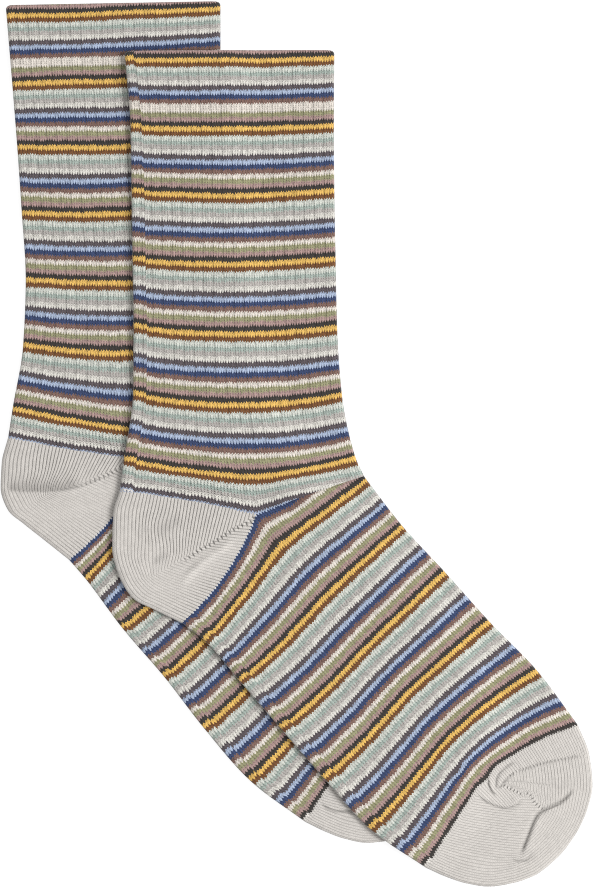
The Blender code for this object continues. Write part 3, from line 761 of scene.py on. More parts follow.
@dataclass(frozen=True)
class Cloth:
    """The thickness and relief of the knit, and how finely it is modelled."""

    wall: float = 1.0
    welt_wall: float = 1.3
    hollow: float = 0.4
    fold_wales: float = 1.5
    fold_steps: int = 9
    wale_steps: int = 4
    under_step: float = 2.0
    heel_under_steps: int = 19
    edge_relief: float = -0.16
    centre_relief: float = -0.05
    rib_depth: float = 0.22
    lining_inset: float = 1.05
    lining_step: float = 6.0
    lining_press: float = 0.3

    def height(self, wall: float) -> float:
        """The height of a sock pressed flat, whose two faces have this wall."""
        return 2 * wall + self.hollow

    def relief(self, wales: Array) -> Array:
        """The height of the knit's columns at each wale, below their crests."""
        place = np.mod(wales, 1.0)
        on_edge, on_centre = np.isclose(place, 0.0), np.isclose(place, 0.5)
        return np.where(on_edge, self.edge_relief, np.where(on_centre, self.centre_relief, 0.0))

    def ribs(self, wales: Array) -> Array:
        """How far each wale drops into a rib's groove, which is the last wale of each rib."""
        place, steps = np.mod(wales, RIB_WALES), self.wale_steps
        last = RIB_WALES - 1
        return np.clip((place - last) * steps, 0, 1) * np.clip((RIB_WALES - place) * steps, 0, 1)


CLOTH = Cloth()


class Loop(NamedTuple):
    """The columns of a sheet, from one fold or gore round to the other."""

    wales: Array
    level: Array

    @property
    def on_face(self) -> Array:
        """Which columns are on the upper face."""
        return np.isclose(self.level, 1.0)

    def drawn_in(self, inset: float) -> "Loop":
        """The same columns on a lining, which lies inside the folds."""
        inward = 1 - inset / GORE_WALE
        return Loop(GORE_WALE + (self.wales - GORE_WALE) * inward, self.level)


def tube_loop(cloth: Cloth = CLOTH) -> Loop:
    """The columns of a tube: fine across the face, plain underneath."""
    inset, half = cloth.fold_wales, cloth.fold_steps // 2
    face = np.arange(math.ceil(inset), FACE_WALES - inset - HAIR, 1 / cloth.wale_steps)
    under = np.arange(FACE_WALES - inset - 1, inset + 1 - HAIR, -cloth.under_step)
    turn = np.linspace(0, math.pi, cloth.fold_steps)
    fold_in, fold_level = inset * (1 - np.sin(turn)), (1 + np.cos(turn)) / 2
    back_in, back_level = fold_in[::-1], fold_level[::-1]
    wales = [back_in[half:], face, FACE_WALES - fold_in, under, back_in[:half + 1]]
    level = [back_level[half:], np.ones(len(face)), fold_level, np.zeros(len(under)),
             back_level[:half + 1]]
    return Loop(np.concatenate(wales), np.concatenate(level))


def gore_loop(cloth: Cloth = CLOTH) -> Loop:
    """The columns of a heel, from the gore on the face round its fold to the gore underneath."""
    inset = cloth.fold_wales
    face = np.arange(GORE_WALE, inset + HAIR, -1 / cloth.wale_steps)
    under = np.linspace(inset, GORE_WALE, cloth.heel_under_steps + 1)[1:]
    turn = np.linspace(0, math.pi, cloth.fold_steps)
    wales = np.concatenate([face, inset * (1 - np.sin(turn)), under])
    level = np.concatenate([np.ones(len(face)), (1 + np.cos(turn)) / 2, np.zeros(len(under))])
    return Loop(wales, level)


Knit = Callable[[Array, Array, Array, Array], tuple[Array, Array]]


def laid_grid(name: str, points: Array, knit: Knit, marks: dict[str, Array]) -> bpy.types.Object:
    """A grid primitive whose points are laid in place, with its knit in a UV map.

    Args:
        name: The new object's name.
        points: Places in millimetres, as rows, columns and (x, y, z).
        knit: Turns each face corner's row and column, and its face's middle row and column,
            into the wale and course that show there.
        marks: Values for each row and column, kept as attributes under these names.

    Returns:
        The grid as an object at the origin.
    """
    rows, columns = points.shape[:2]
    bpy.ops.object.select_all(action="DESELECT")
    bpy.ops.mesh.primitive_grid_add(x_subdivisions=columns - 1, y_subdivisions=rows - 1, size=1.0,
                                    calc_uvs=True)
    sheet = bpy.context.object
    sheet.name = sheet.data.name = name
    mesh = sheet.data
    flat = np.empty(len(mesh.vertices) * 3, np.float32)
    mesh.vertices.foreach_get("co", flat)
    row = np.rint((flat[1::3] + 0.5) * (rows - 1)).astype(int)
    column = np.rint((flat[0::3] + 0.5) * (columns - 1)).astype(int)
    mesh.vertices.foreach_set("co", (points[row, column] * MM).astype(np.float32).ravel())
    vertex = np.empty(len(mesh.loops), np.int32)
    mesh.loops.foreach_get("vertex_index", vertex)
    corner_row, corner_column = row[vertex], column[vertex]
    face_row = corner_row.reshape(-1, 4).mean(1).repeat(4)
    face_column = corner_column.reshape(-1, 4).mean(1).repeat(4)
    wale, course = knit(corner_row, corner_column, face_row, face_column)
    mesh.uv_layers[0].name = "knit"
    places = np.column_stack([wale, course]).astype(np.float32)
    mesh.uv_layers[0].data.foreach_set("uv", places.ravel())
    for label, values in marks.items():
        attribute = mesh.attributes.new(label, "FLOAT", "POINT")
        attribute.data.foreach_set("value", values[row, column].astype(np.float32))
    mesh.update()
    return sheet


def closed_shell(name: str, points: Array, knit: Knit,
                 marks: dict[str, Array]) -> bpy.types.Object:
    """A closed shell from one grid, whose edges meet or are drawn together to a point.

    Args:
        name: The new object's name.
        points: Places in millimetres, as rows, columns and (x, y, z).
        knit: Gives the wale and course at each face corner, as laid_grid needs it.
        marks: Values for each row and column, kept as attributes.

    Returns:
        The shell as an object at the origin, its faces outward.
    """
    shell = laid_grid(name, points, knit, marks)
    bpy.ops.object.mode_set(mode="EDIT")
    bpy.ops.mesh.select_all(action="SELECT")
    bpy.ops.mesh.remove_doubles(threshold=MERGE_DISTANCE)
    bpy.ops.mesh.select_all(action="SELECT")
    bpy.ops.mesh.normals_make_consistent(inside=False)
    bpy.ops.object.mode_set(mode="OBJECT")
    return shell


# ---------------------------------------------------------------- the knitted pieces


class Part(Enum):
    """The five pieces of a sock."""

    WELT = "welt"
    LEG = "leg"
    HEEL = "heel"
    FOOT = "foot"
    TOE = "toe"


LAID_ON = {
    Part.WELT: (Part.WELT, Part.LEG),
    Part.LEG: (Part.LEG, Part.FOOT),
    Part.HEEL: (Part.HEEL, Part.FOOT),
    Part.FOOT: (Part.FOOT, Part.TOE),
    Part.TOE: (Part.TOE,),
}


@dataclass(frozen=True)
class Tuck:
    """The fold at the front of the ankle, where leg cloth lies over the start of the foot."""

    rise: float = 1.4
    wales: tuple[float, float] = (42.0, 52.0)
    courses: tuple[float, float] = (168.0, 186.0)
    tongue: float = 3.0
    tongue_up: tuple[float, float] = (52.0, 60.0)
    tongue_down: tuple[float, float] = (72.0, 76.0)
    shown_from: float = 52.0
    shown_to: float = 80.0
    leg_lost: float = 6.3
    leg_courses: float = 14.0
    foot_lost: float = 12.2
    foot_courses: float = 13.0
    late_wales: tuple[float, ...] = (54, 65, 80)
    late_share: tuple[float, ...] = (0, 0.3, 1)
    late_courses: tuple[float, ...] = (202, 204, 206, 208, 210, 213, 216, 219, 224, 230)
    late_by: tuple[float, ...] = (1.5, 3.1, 4.1, 4.8, 5.1, 4.9, 4.1, 3.1, 1.3, 0)

    def lift(self, courses: Array, wales: Array) -> Array:
        """How far the leg's face is lifted at each course and wale."""
        across = step_between(wales, self.wales)
        return self.rise * step_between(courses, self.courses)[:, None] * across

    def reach(self, wales: Array) -> Array:
        """How far the foot's face reaches under the leg at each wale."""
        down = step_between(wales, self.tongue_down)
        return self.tongue * step_between(wales, self.tongue_up) * (1 - down)

    def hidden(self, wales: Array) -> Array:
        """The share of the tuck's depth that is out of sight at each wale."""
        return np.clip((wales - self.shown_from) / (self.shown_to - self.shown_from), 0, 1)

    def leg_course(self, wales: Array, courses: Array) -> Array:
        """The course that shows at a place on the leg, which loses its last ones in the tuck."""
        start = LEG_END - self.leg_courses
        past = np.clip((courses - start) / (LEG_END - start), 0, 1)
        return courses - self.leg_lost * self.hidden(wales) * past

    def foot_course(self, wales: Array, courses: Array) -> Array:
        """The course that shows at a place on the foot, which loses its first ones.

        Below the tuck its front fold is straight, and the courses there come a little late.
        """
        end = FOOT_START + self.foot_courses
        before = np.clip((end - courses) / (end - FOOT_START), 0, 1)
        late = np.interp(courses, self.late_courses, self.late_by)
        late = late * np.interp(wales, self.late_wales, self.late_share)
        return courses + self.foot_lost * self.hidden(wales) * before - late


@dataclass
class Piece(ABC):
    """A knitted piece of a sock: one closed shell of an outside, a rim, a lining and a rim.

    A row of a shell is a course of a tube, or a share of the way round a heel.
    """

    sock: Sock
    part: Part
    wall: float
    cloth: ClassVar[Cloth] = CLOTH

    @abstractmethod
    def loop(self) -> Loop:
        """The columns of the outside sheet."""

    @abstractmethod
    def rows(self) -> Array:
        """The rows of the outside sheet."""

    @abstractmethod
    def lining_rows(self) -> Array:
        """The rows of the lining, from where the outside ends."""

    @abstractmethod
    def plan_of(self, rows: Array, loop: Loop) -> Array:
        """Plan points of a sheet."""

    @abstractmethod
    def carving(self, rows: Array, plan: Array) -> Array:
        """How strongly the wales stand out at each place."""

    @abstractmethod
    def knit(self, rows: Array, loop: Loop, points: Array) -> Knit:
        """How the shell's rows and columns turn into the wales and courses that show.

        Args:
            rows: The shell's rows.
            loop: Its columns.
            points: Its places.

        Returns:
            What laid_grid asks for each face corner.
        """

    @abstractmethod
    def declare(self, made: bpy.types.Object, rests_on: list[str]) -> None:
        """Work out the size of the piece's cloth, laid flat; the result is not kept."""

    @property
    def name(self) -> str:
        """The piece's name in the scene."""
        return f"{self.sock.name}_{self.part.value}_knit"

    def thinning(self, rows: Array) -> Array:
        """The share of the full height that each row has."""
        return np.ones(len(rows))

    def rib_share(self, rows: Array) -> Array:
        """How strongly each row is ribbed."""
        return np.zeros(len(rows))

    def lift(self, rows: Array, wales: Array) -> Array:
        """How far the upper face is lifted at each place."""
        return np.zeros((len(rows), len(wales)))

    def sheet_points(self, rows: Array, loop: Loop, skin: float, carved: bool) -> Array:
        """Places of a sheet's points.

        Args:
            rows: The sheet's rows.
            loop: The columns.
            skin: How far the sheet lies in from the outside.
            carved: Whether the sheet has the knit's relief.

        Returns:
            Places as rows, columns and (x, y, z).
        """
        plan = self.plan_of(rows, loop)
        count, flat = plan.shape[:2], plan.reshape(-1, 2)
        floor = self.sock.surface.under(flat).reshape(count)
        height = self.cloth.height(self.wall)
        thin = self.thinning(rows)[:, None]
        level = skin * thin + loop.level * (height - 2 * skin) * thin
        in_front = loop.wales > GORE_WALE
        raised = np.where(loop.on_face | in_front, 1.0, 0.0) * loop.level
        level = level + self.lift(rows, loop.wales) * raised
        press = self.sock.press(flat).reshape(count) * loop.on_face * thin
        level -= press if carved else np.minimum(press, self.cloth.lining_press)
        if carved:
            level += self.cloth.relief(loop.wales) * self.carving(rows, plan) * loop.on_face
            ribs = self.cloth.ribs(loop.wales) * self.rib_share(rows)[:, None]
            level -= self.cloth.rib_depth * ribs * loop.on_face
        return np.dstack([plan, floor + level])

    def closed(self, outside: Array, lining: Array) -> Array:
        """The outside and lining as one run of rows, back round to its start."""
        return np.concatenate([outside, lining, outside[:1]])

    def marks(self, points: Array, loop: Loop) -> dict[str, Array]:
        """What shows besides the knit, for each row and column; nothing underneath."""
        found = self.sock.marks(points[..., :2].reshape(-1, 2))
        return {name: values.reshape(points.shape[:2]) * loop.on_face
                for name, values in found.items()}

    def build(self) -> bpy.types.Object:
        """Model the piece as one closed shell."""
        rows, back, loop = self.rows(), self.lining_rows(), self.loop()
        outside = self.sheet_points(rows, loop, 0.0, True)
        inner_loop = loop.drawn_in(self.cloth.lining_inset)
        points = self.closed(outside, self.sheet_points(back, inner_loop, self.wall, False))
        knit = self.knit(self.closed(rows, back), loop, points)
        return closed_shell(self.name, points, knit, self.marks(points, loop))


@dataclass
class Tube(Piece):
    """A piece knitted in the round and pressed flat."""

    plan: Plan
    tuck: ClassVar[Tuck] = Tuck()
    relief_share: ClassVar[float] = 0.6
    run_step: ClassVar[float] = 10.0

    def loop(self) -> Loop:
        """The columns of the outside sheet."""
        return tube_loop(self.cloth)

    def rows(self) -> Array:
        """The course of each row of the outside sheet."""
        return np.arange(self.plan.keys[0], self.plan.keys[-1] + 0.5)

    def lining_rows(self) -> Array:
        """The course of each row of the lining, back from the end to the start."""
        courses = self.rows()
        count = math.ceil((courses[-1] - courses[0]) / self.cloth.lining_step) + 1
        return np.linspace(courses[-1], courses[0], count)

    def carving(self, rows: Array, plan: Array) -> Array:
        """How strongly the wales stand out at each place."""
        return np.full(plan.shape[:2], self.relief_share)

    def draw_back(self, courses: Array, loop: Loop) -> Array:
        """How far each place is drawn back towards the cuff."""
        return np.zeros((len(courses), len(loop.wales)))

    def shown(self, wales: Array, courses: Array) -> Array:
        """The course that shows at a place on the face."""
        return courses

    def plan_of(self, rows: Array, loop: Loop) -> Array:
        """Plan points of a sheet, with what is drawn back moved square to its course line."""
        points = self.plan.at(rows, loop.wales)
        back = self.draw_back(rows, loop)
        if back.any():
            half = 0.5
            along = (self.plan.at(rows, np.minimum(loop.wales + half, FACE_WALES))
                     - self.plan.at(rows, np.maximum(loop.wales - half, 0)))
            along /= np.linalg.norm(along, axis=2)[..., None]
            points = points - np.stack([along[..., 1], -along[..., 0]], axis=2) * back[..., None]
        return self.sock.nudged(points)

    def knit(self, rows: Array, loop: Loop, points: Array) -> Knit:
        """The knit follows the rows and columns, and steps where each round begins."""
        def places(row: Array, column: Array, face_row: Array,
                   face_column: Array) -> tuple[Array, Array]:
            """The wale and course at each face corner."""
            wale, course = loop.wales[column], rows[row]
            middle = np.interp(face_column, np.arange(len(loop.wales)), loop.wales)
            face_course = np.interp(face_row, np.arange(len(rows)), rows)
            return wale, self.shown(wale, course) + self.sock.jog.at(middle, face_course)
        return places

    def declare(self, made: bpy.types.Object, rests_on: list[str]) -> None:
        """Work out the girth and run of the piece's cloth, cut open along its back fold and laid
        flat; neither is kept.
        """
        courses = self.rows()
        middle = (courses[0] + courses[-1]) / 2
        self.girth(middle)
        self.run()

    def girth(self, course: float) -> float:
        """The width of the piece's cloth all round at a course, in metres."""
        return 2 * run_length(self.plan.at(np.array([course]), np.arange(FACE_WALES + 1.0))[0])

    def run(self) -> float:
        """The mean length of the piece's cloth along its wales, in metres."""
        courses = self.rows()
        wales = np.arange(self.run_step, FACE_WALES, self.run_step)
        lines = self.plan.at(np.arange(courses[0], courses[-1] + 0.5), wales)
        return float(np.mean([run_length(lines[:, i]) for i in range(lines.shape[1])]))


@dataclass
class Welt(Tube):
    """The double band at the cuff, turned over at its top edge."""

    corner: ClassVar[float] = 2.0
    corner_wales: ClassVar[float] = 6.0
    turn_courses: ClassVar[tuple[float, ...]] = (0.0, 0.12, 0.3, 0.6, 1.0, 1.5)
    turn_heights: ClassVar[tuple[float, ...]] = (0.74, 0.88, 0.95, 0.99, 1.0, 1.0)

    def rows(self) -> Array:
        """The course of each row, closer together where the edge turns over."""
        return np.concatenate([self.turn_courses, np.arange(2, WELT_END + 0.5)])

    def plan_of(self, rows: Array, loop: Loop) -> Array:
        """Plan points of a sheet, with the corners of the top edge rounded off."""
        points = super().plan_of(rows, loop)
        near_back = 1 - smooth(loop.wales / self.corner_wales)
        near_front = 1 - smooth((FACE_WALES - loop.wales) / self.corner_wales)
        for i in np.flatnonzero(rows < self.corner):
            inset = self.corner - math.sqrt(self.corner ** 2 - (self.corner - rows[i]) ** 2)
            wales = loop.wales + inset * (near_back - near_front)
            points[i] = self.sock.nudged(self.plan.at(rows[i:i + 1], wales)[0])
        return points

    def shown(self, wales: Array, courses: Array) -> Array:
        """The stripes come a little late or early at the turned edge."""
        return courses - self.sock.edge.late(wales, courses)

    def thinning(self, rows: Array) -> Array:
        """The edge is rounded where it turns over."""
        return np.interp(rows, self.turn_courses, self.turn_heights)

    def rib_share(self, rows: Array) -> Array:
        """The welt is ribbed all over."""
        return np.ones(len(rows))


@dataclass
class Leg(Tube):
    """The ribbed tube from the welt to the heel and the front of the ankle."""

    def rows(self) -> Array:
        """The course of each row, from the welt on."""
        return np.arange(WELT_END, LEG_END + 0.5)

    def rib_share(self, rows: Array) -> Array:
        """The ribs end softly above the ankle."""
        return 1 - step_between(rows, RIB_FADE)

    def lift(self, rows: Array, wales: Array) -> Array:
        """The upper sock's leg climbs over its tuck."""
        return self.tuck.lift(rows, wales) if self.sock.on_top else super().lift(rows, wales)

    def shown(self, wales: Array, courses: Array) -> Array:
        """The last courses at the front are out of sight in the tuck."""
        return self.tuck.leg_course(wales, courses) - self.sock.edge.late(wales, courses)


@dataclass
class Foot(Tube):
    """The plain tube from the heel to the toe."""

    def rows(self) -> Array:
        """The course of each row, with one more for the cloth under the leg's tuck."""
        courses = super().rows()
        return np.concatenate([courses[:1], courses]) if self.sock.on_top else courses

    def draw_back(self, courses: Array, loop: Loop) -> Array:
        """The first row reaches under the leg."""
        back = super().draw_back(courses, loop)
        if self.sock.on_top:
            back[0] = np.where(loop.on_face, self.tuck.reach(loop.wales), 0.0)
        return back

    def shown(self, wales: Array, courses: Array) -> Array:
        """The first courses at the front are out of sight in the tuck."""
        return self.tuck.foot_course(wales, courses)


class Zone(Enum):
    """How the wales of a toe cap run at a place."""

    STRAIGHT = 0
    ROUND = 1
    SOLE = 2


@dataclass(frozen=True)
class CapKnit:
    """Where the wales of a toe cap change their direction.

    Places are from the middle of the cap's first course. The seam is the line where the pocket of
    the toe turns back on itself, and the fold is where its sole half ends.
    """

    seam: tuple[tuple[float, float], ...] = (
        (-4.8, -6.8), (-1.2, -9.6), (2.0, -11.6), (7.6, -12.8), (11.6, -11.6), (15.2, -8.0),
        (12.0, -6.0), (7.6, -4.0), (4.8, -4.8), (6.8, -2.0), (9.2, 0.0), (17.6, 3.6),
        (23.6, 5.6), (32.0, 7.2), (38.0, 8.0), (44.0, 10.4),
    )
    above_seam: tuple[tuple[float, float], ...] = ((44.0, 32.0), (-6.0, 14.0), (-12.0, -5.6))
    fold: tuple[tuple[float, float], ...] = (
        (15.2, -8.0), (17.6, -7.6), (19.6, -10.8), (23.6, -14.0), (20.8, -15.6), (19.2, -19.2),
        (17.6, -22.8), (14.4, -30.0), (12.8, -35.6), (11.6, -46.0),
    )
    below_fold: tuple[tuple[float, float], ...] = ((-26.0, -46.0), (-36.0, -32.0), (-18.0, -9.6))
    sole_start: int = 6
    straight_courses: float = 1.2
    first_courses: float = 3.0
    course_pitch: float = 0.92
    sole_from: float = -40.0
    sole_pitch: float = 1.04
    rim_pitch: float = 1.0
    cap_pitch: float = 1.25
    pitch_change: tuple[float, float] = (70.0, 90.0)
    depth_blend: tuple[float, float] = (5.0, 13.0)
    sole_depth: float = 41.25
    bend_from: float = -10.0
    bend: tuple[float, float] = (-0.23, 0.0035)

    def zones(self, local: Array) -> Array:
        """The number of the zone that each place is in."""
        above = within(np.array(self.seam + self.above_seam), local)
        sole = within(np.array(self.seam[:self.sole_start] + self.fold + self.below_fold), local)
        below = np.where(sole, Zone.SOLE.value, Zone.ROUND.value)
        return np.where(above, Zone.STRAIGHT.value, below)

    def fields(self, local: Array, outline: Array) -> tuple[Array, Array]:
        """The wale and course at each place, if it is in the round zone and if it is in the sole's.

        Args:
            local: Places, one a row.
            outline: The cap's outline from the sole fold round the tip.

        Returns:
            Wales and courses as two columns, for each of the two zones.
        """
        depth, along = beside(outline, local)
        depth = np.abs(depth)
        change = step_between(along, self.pitch_change)
        rim = depth / (self.rim_pitch + (self.cap_pitch - self.rim_pitch) * change)
        x, y = local[:, 0], local[:, 1]
        past = x - self.bend_from
        bend = self.bend[0] * past + self.bend[1] * past ** 2
        straight = (y - bend + self.sole_depth) / self.sole_pitch
        sole_wale = rim + (straight - rim) * step_between(depth, self.depth_blend)
        course, sole_course = (TOE_START + self.first_courses + way / self.course_pitch
                               for way in (along, x - self.sole_from))
        return np.column_stack([rim, course]), np.column_stack([sole_wale, sole_course])


@dataclass
class Toe(Tube):
    """The toe cap, thinned to a rounded edge where it closes."""

    row_step: ClassVar[float] = 0.5
    lining_count: ClassVar[int] = 14
    tip_wall: ClassVar[float] = 1.5
    smooth_from: ClassVar[float] = 2.0
    edge_courses: ClassVar[tuple[float, ...]] = (372.0, 375.0, 377.0, 378.0, 379.0)
    edge_heights: ClassVar[tuple[float, ...]] = (1.0, 0.95, 0.85, 0.72, 0.45)
    outline_steps: ClassVar[int] = 24
    outline_wales: ClassVar[float] = 8.0
    cap: ClassVar[CapKnit] = CapKnit()

    def rows(self) -> Array:
        """The course of each row, back from the tip."""
        return np.arange(TOE_START, TOE_END + HAIR, self.row_step)[::-1]

    def lining_rows(self) -> Array:
        """The course of each row of the lining, which ends inside the tip."""
        return np.linspace(TOE_START, TOE_END - self.tip_wall, self.lining_count)

    def thinning(self, rows: Array) -> Array:
        """The cap thins over its last courses."""
        return np.interp(rows, self.edge_courses, self.edge_heights)

    def carving(self, rows: Array, plan: Array) -> Array:
        """Past its first courses the cap is smooth, as its wales turn away from its columns."""
        return 1 - smooth((rows - TOE_START) / self.smooth_from)[:, None]

    def closed(self, outside: Array, lining: Array) -> Array:
        """The outside and lining as one run of rows, each drawn together to a point at the tip."""
        first, last = (np.broadcast_to(row.mean(0) if row.ndim else row, row[None].shape)
                       for row in (outside[0], lining[-1]))
        return np.concatenate([first, outside, lining, last])

    def knit(self, rows: Array, loop: Loop, points: Array) -> Knit:
        """Past the first course the cap's wales run round its outline, but for its sole half."""
        plain = super().knit(rows, loop, points)
        plan = points[..., :2]
        anchor = self.plan.at(np.array([TOE_START]), np.array([GORE_WALE]))[0, 0]
        local = (plan - anchor).reshape(-1, 2)
        fields = [found.reshape(plan.shape)
                  for found in self.cap.fields(local, self.outline() - anchor)]
        middles = (plan[:-1, :-1] + plan[1:, :-1] + plan[:-1, 1:] + plan[1:, 1:]) / 4 - anchor
        zones = self.cap.zones(middles.reshape(-1, 2)).reshape(middles.shape[:2])
        on_face = loop.on_face[:-1] & loop.on_face[1:]
        first = np.minimum(rows[:-1], rows[1:]) < TOE_START + self.cap.straight_courses
        zones = np.where(on_face & ~first[:, None], zones, Zone.STRAIGHT.value)

        def places(row: Array, column: Array, face_row: Array,
                   face_column: Array) -> tuple[Array, Array]:
            """The wale and course at each face corner."""
            zone = zones[face_row.astype(int), face_column.astype(int)]
            wale, course = plain(row, column, face_row, face_column)
            for kind, found in zip((Zone.ROUND, Zone.SOLE), fields):
                wale = np.where(zone == kind.value, found[row, column, 0], wale)
                course = np.where(zone == kind.value, found[row, column, 1], course)
            return wale, course
        return places

    def declare(self, made: bpy.types.Object, rests_on: list[str]) -> None:
        """Work out the plan and girth of the cap's cloth, a band that narrows to the tip on both
        faces; neither is kept.
        """
        plan = self.plan.at(self.rows(), np.arange(FACE_WALES + 1.0))
        self.girth(TOE_START)

    def outline(self) -> Array:
        """The cap's outline from the sole fold round the tip to the front fold."""
        courses = np.linspace(TOE_START, TOE_END, self.outline_steps)
        sole = self.plan.at(courses, np.array([0.0]))[:, 0]
        wales = np.arange(self.outline_wales, FACE_WALES, self.outline_wales)
        tip = self.plan.at(np.array([TOE_END]), wales)[0]
        front = self.plan.at(courses[::-1], np.array([float(FACE_WALES)]))[:, 0]
        return np.concatenate([sole, tip, front])


@dataclass
class Heel(Piece):
    """The heel pocket: two faces that meet in a fold round the heel and fan out from the gore."""

    row_count: ClassVar[int] = 101
    mitre_wales: ClassVar[float] = 18.0
    course_pitch: ClassVar[float] = 0.95
    relief_range: ClassVar[tuple[float, float]] = (0.1, 1.05)

    def loop(self) -> Loop:
        """The columns of the outside sheet."""
        return gore_loop(self.cloth)

    def rows(self) -> Array:
        """How far round the heel each row is, as a share."""
        return np.linspace(0, 1, self.row_count)

    def lining_rows(self) -> Array:
        """The rows of the lining, back from the foot to the leg."""
        return self.rows()[::-1]

    def carving(self, rows: Array, plan: Array) -> Array:
        """The wales stand out where the pocket is stretched and close where it is slack."""
        stretch = self.sock.stretch(plan.reshape(-1, 2)).reshape(plan.shape[:2])
        return np.clip(1 + stretch, *self.relief_range)

    def plan_of(self, rows: Array, loop: Loop) -> Array:
        """Plan points for each share of the way round the heel and each column."""
        shape, leg, foot = self.sock.heel, self.sock.leg, self.sock.foot
        wales = loop.wales
        edges, places = (np.array([(point.x, point.y) for point in points])
                         for points in (shape.edges, shape.bends))
        leg_row, foot_row = np.array([LEG_END]), np.array([FOOT_START])
        starts, ends = leg.at(leg_row, wales)[0], foot.at(foot_row, wales)[0]
        folds = np.array([0.0, float(GORE_WALE)])
        leg_fold, gore = leg.at(leg_row, folds)[0]
        foot_fold = foot.at(foot_row, folds)[0][0]
        inward = 1 - wales / GORE_WALE
        s, at = rows[:, None, None], shape.bend_share
        edge = spline([point.share for point in shape.edges], edges, rows)[:, None]
        edge = edge + (leg_fold - edges[0]) * (1 - s) + (foot_fold - edges[-1]) * s
        rounded = gore + (edge - gore) * inward[None, :, None]
        rounded = rounded + (starts - gore - (leg_fold - gore) * inward[:, None]) * (1 - s)
        rounded = rounded + (ends - gore - (foot_fold - gore) * inward[:, None]) * s
        bends = spline([point.share for point in shape.bends], places, inward)
        to_bend, from_bend = s / at, (s - at) / (1 - at)
        mitred = np.where(s < at, starts + (bends - starts) * to_bend,
                          bends + (ends - bends) * from_bend)
        blend = smooth(wales / self.mitre_wales)[None, :, None]
        return self.sock.nudged(rounded + (mitred - rounded) * blend)

    def knit(self, rows: Array, loop: Loop, points: Array) -> Knit:
        """The courses are counted from the leg as far as the bend, and from the foot past it."""
        plan = self.plan_of(self.rows(), loop)
        step = np.linalg.norm(np.diff(plan, axis=0), axis=2)
        down = np.concatenate([np.zeros((1, step.shape[1])), np.cumsum(step, axis=0)])
        from_leg = LEG_END + down / self.course_pitch
        to_foot = HEEL_NUMBERING - (down[-1:] - down) / self.course_pitch
        from_leg, to_foot = (self.closed(courses, courses[::-1]) for courses in (from_leg, to_foot))

        def places(row: Array, column: Array, face_row: Array,
                   face_column: Array) -> tuple[Array, Array]:
            """The wale and course at each face corner."""
            share = np.interp(face_row, np.arange(len(rows)), rows)
            upper = share < self.sock.heel.bend_share
            course = np.where(upper, from_leg[row, column], to_foot[row, column])
            return loop.wales[column], course
        return places

    def declare(self, made: bpy.types.Object, rests_on: list[str]) -> None:
        """Work out the plan of the pocket's cloth, as wide as its wales and as long as its fold; it
        is not kept.
        """
        wales = np.arange(GORE_WALE + 1.0)
        plan = self.plan_of(self.rows(), Loop(wales, np.ones(len(wales))))


# ---------------------------------------------------------------- finishes


YARN_LIGHT = 0.53


class Yarn(Enum):
    """The yarns, as colours on a screen."""

    CHARCOAL = (60, 56, 53)
    MUSTARD = (228, 184, 98)
    BROWN = (118, 78, 46)
    MINT = (206, 209, 200)
    SAGE = (163, 175, 167)
    PINK_GREY = (180, 175, 170)
    CREAM = (215, 212, 204)
    PLUM = (92, 84, 88)
    LIGHT_BLUE = (168, 182, 206)
    NAVY = (56, 70, 106)
    RED_BROWN = (127, 99, 90)
    WHITE_CREAM = (221, 213, 203)
    OLIVE = (152, 150, 116)
    MAUVE = (171, 143, 138)
    GREY = (214, 209, 203)

    @property
    def linear(self) -> tuple[float, float, float, float]:
        """The colour as light, for a shader."""
        knee, slope, offset, power = 0.04045, 12.92, 0.055, 2.4

        def decoded(value: float) -> float:
            """One channel of a screen colour as light."""
            share = value / 255
            return share / slope if share <= knee else ((share + offset) / (1 + offset)) ** power
        return (*(decoded(value) * YARN_LIGHT for value in self.value), 1.0)


class Stripe(NamedTuple):
    """One stripe of the pattern: its yarn and the course at which it starts."""

    yarn: Yarn
    start: float


STRIPES = (
    Stripe(Yarn.CHARCOAL, 0.0),
    Stripe(Yarn.MUSTARD, 2.05),
    Stripe(Yarn.BROWN, 4.0),
    Stripe(Yarn.MINT, 6.1),
    Stripe(Yarn.SAGE, 8.1),
    Stripe(Yarn.PINK_GREY, 10.0),
    Stripe(Yarn.CREAM, 12.0),
    Stripe(Yarn.PLUM, 14.05),
    Stripe(Yarn.LIGHT_BLUE, 16.2),
    Stripe(Yarn.NAVY, 18.1),
    Stripe(Yarn.RED_BROWN, 20.15),
    Stripe(Yarn.WHITE_CREAM, 22.15),
    Stripe(Yarn.OLIVE, 24.05),
    Stripe(Yarn.MAUVE, 26.05),
)
STRIPE_PERIOD = 28.0
FIRST_STRIPE = 31.1
# Where the leg's last yarn still shows on the heel, and the foot's last yarn on the toe.
FRINGE_WALE = 18.0
FRINGE_WALES = (11.0, 16.0)
FRINGE_COURSES = (LEG_END - 0.4, LEG_END + 0.15)
TOE_FRINGE = 10.0


def joined_by(operation: str, flipped: bool = False) -> Callable[..., "Signal"]:
    """A method that joins a signal to other values by one math node.

    Args:
        operation: The node's operation.
        flipped: Whether the signal comes last.

    Returns:
        The method, whose result is a signal.
    """
    def join(signal: "Signal", *others: object) -> "Signal":
        """The result of the operation."""
        values = (*others, signal) if flipped else (signal, *others)
        return signal.graph.math(operation, *values)
    return join


